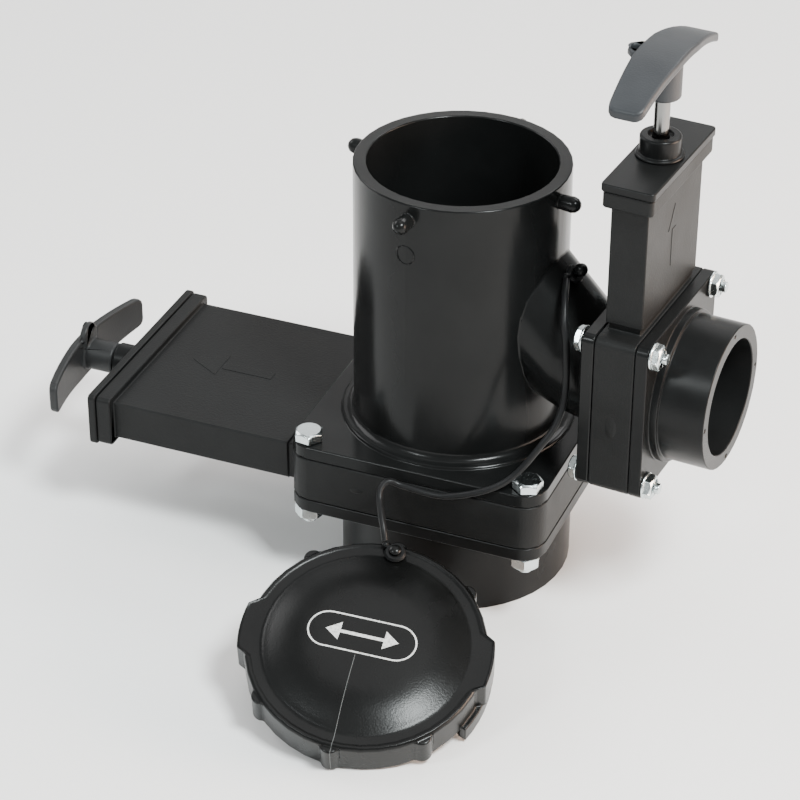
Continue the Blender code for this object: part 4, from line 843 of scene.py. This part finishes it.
# Studio
def build_floor():
    """A pale seamless floor that turns up into a backdrop far behind."""
    bpy.ops.object.select_all(action="DESELECT")
    bpy.ops.mesh.primitive_plane_add(size=FLOOR_SIZE, location=(0, FLOOR_AHEAD, 0))
    floor = bpy.context.object
    floor.name = "pale_floor"
    bpy.ops.object.transform_apply(location=True)
    bpy.ops.object.mode_set(mode="EDIT")
    bpy.ops.mesh.select_mode(type="EDGE")
    bpy.ops.mesh.select_all(action="DESELECT")
    bpy.ops.object.mode_set(mode="OBJECT")
    for edge in floor.data.edges:
        edge.select = all(floor.data.vertices[end].co.y > BACKDROP_START for end in edge.vertices)
    bpy.ops.object.mode_set(mode="EDIT")
    bpy.ops.mesh.extrude_region_move(TRANSFORM_OT_translate={"value": (0, 0, BACKDROP_HEIGHT)})
    bpy.ops.object.mode_set(mode="OBJECT")
    turn = floor.modifiers.new("sweep", "BEVEL")
    turn.width = SWEEP_RADIUS
    turn.segments = 16
    turn.limit_method = "ANGLE"
    apply_all(floor)
    smooth(floor)
    paper = Finish("pale_paper", roughness=0.65)
    grain = paper.noise(paper.place(), 260.0, 3.0)
    paper.set(base_color=paper.mix(grain, (0.90, 0.90, 0.895), (0.92, 0.92, 0.915)))
    paper.set(normal=paper.bump(grain, 0.00003))
    floor.data.materials.append(paper.material)


def softbox(name, place, size, watts, tint, target):
    lamp = bpy.data.lights.new(name, "AREA")
    lamp.shape = "RECTANGLE"
    lamp.size, lamp.size_y = size
    lamp.energy = watts
    lamp.color = tint
    holder = bpy.data.objects.new(name, lamp)
    bpy.context.scene.collection.objects.link(holder)
    holder.location = place
    holder.rotation_euler = (Vector(target) - Vector(place)).to_track_quat("-Z", "Y").to_euler()


def light_studio():
    for box in SOFTBOXES:
        softbox(*box, target=PIPE + Vector((0, 0, LIGHT_LEVEL)))
    world = bpy.data.worlds.new("studio_air")
    bpy.context.scene.world = world
    world.use_nodes = True
    air = world.node_tree.nodes["Background"]
    air.inputs["Color"].default_value = (*WHITE, 1.0)
    air.inputs["Strength"].default_value = AIR_STRENGTH


def set_camera():
    back = Vector((math.sin(VIEW_AZIMUTH) * math.cos(VIEW_ELEVATION),
                   -math.cos(VIEW_AZIMUTH) * math.cos(VIEW_ELEVATION), math.sin(VIEW_ELEVATION)))
    right = Vector((0, 0, 1)).cross(back).normalized()
    up = back.cross(right)
    across = math.cos(VIEW_ROLL) * right + math.sin(VIEW_ROLL) * up
    upward = math.cos(VIEW_ROLL) * up - math.sin(VIEW_ROLL) * right
    lens = bpy.data.cameras.new("photo_view")
    lens.lens = LENS
    lens.sensor_width = SENSOR
    lens.clip_start = NEAREST
    lens.clip_end = FARTHEST
    camera = bpy.data.objects.new("photo_view", lens)
    bpy.context.scene.collection.objects.link(camera)
    pose = Matrix((across, upward, back)).transposed().to_4x4()
    pose.translation = VIEW_TARGET + back * VIEW_DISTANCE
    camera.matrix_world = pose
    bpy.context.scene.camera = camera


finishes = make_finishes()
dress_mouldings(finishes)
build_fasteners("main", Matrix.Identity(4), MAIN_FASTENER, finishes["zinc"])
build_fasteners("side", SIDE_BOLT_AXES, SIDE_FASTENER, finishes["zinc"])
build_marks(finishes)
build_tether(finishes["tether"])
build_floor()
light_studio()
set_camera()
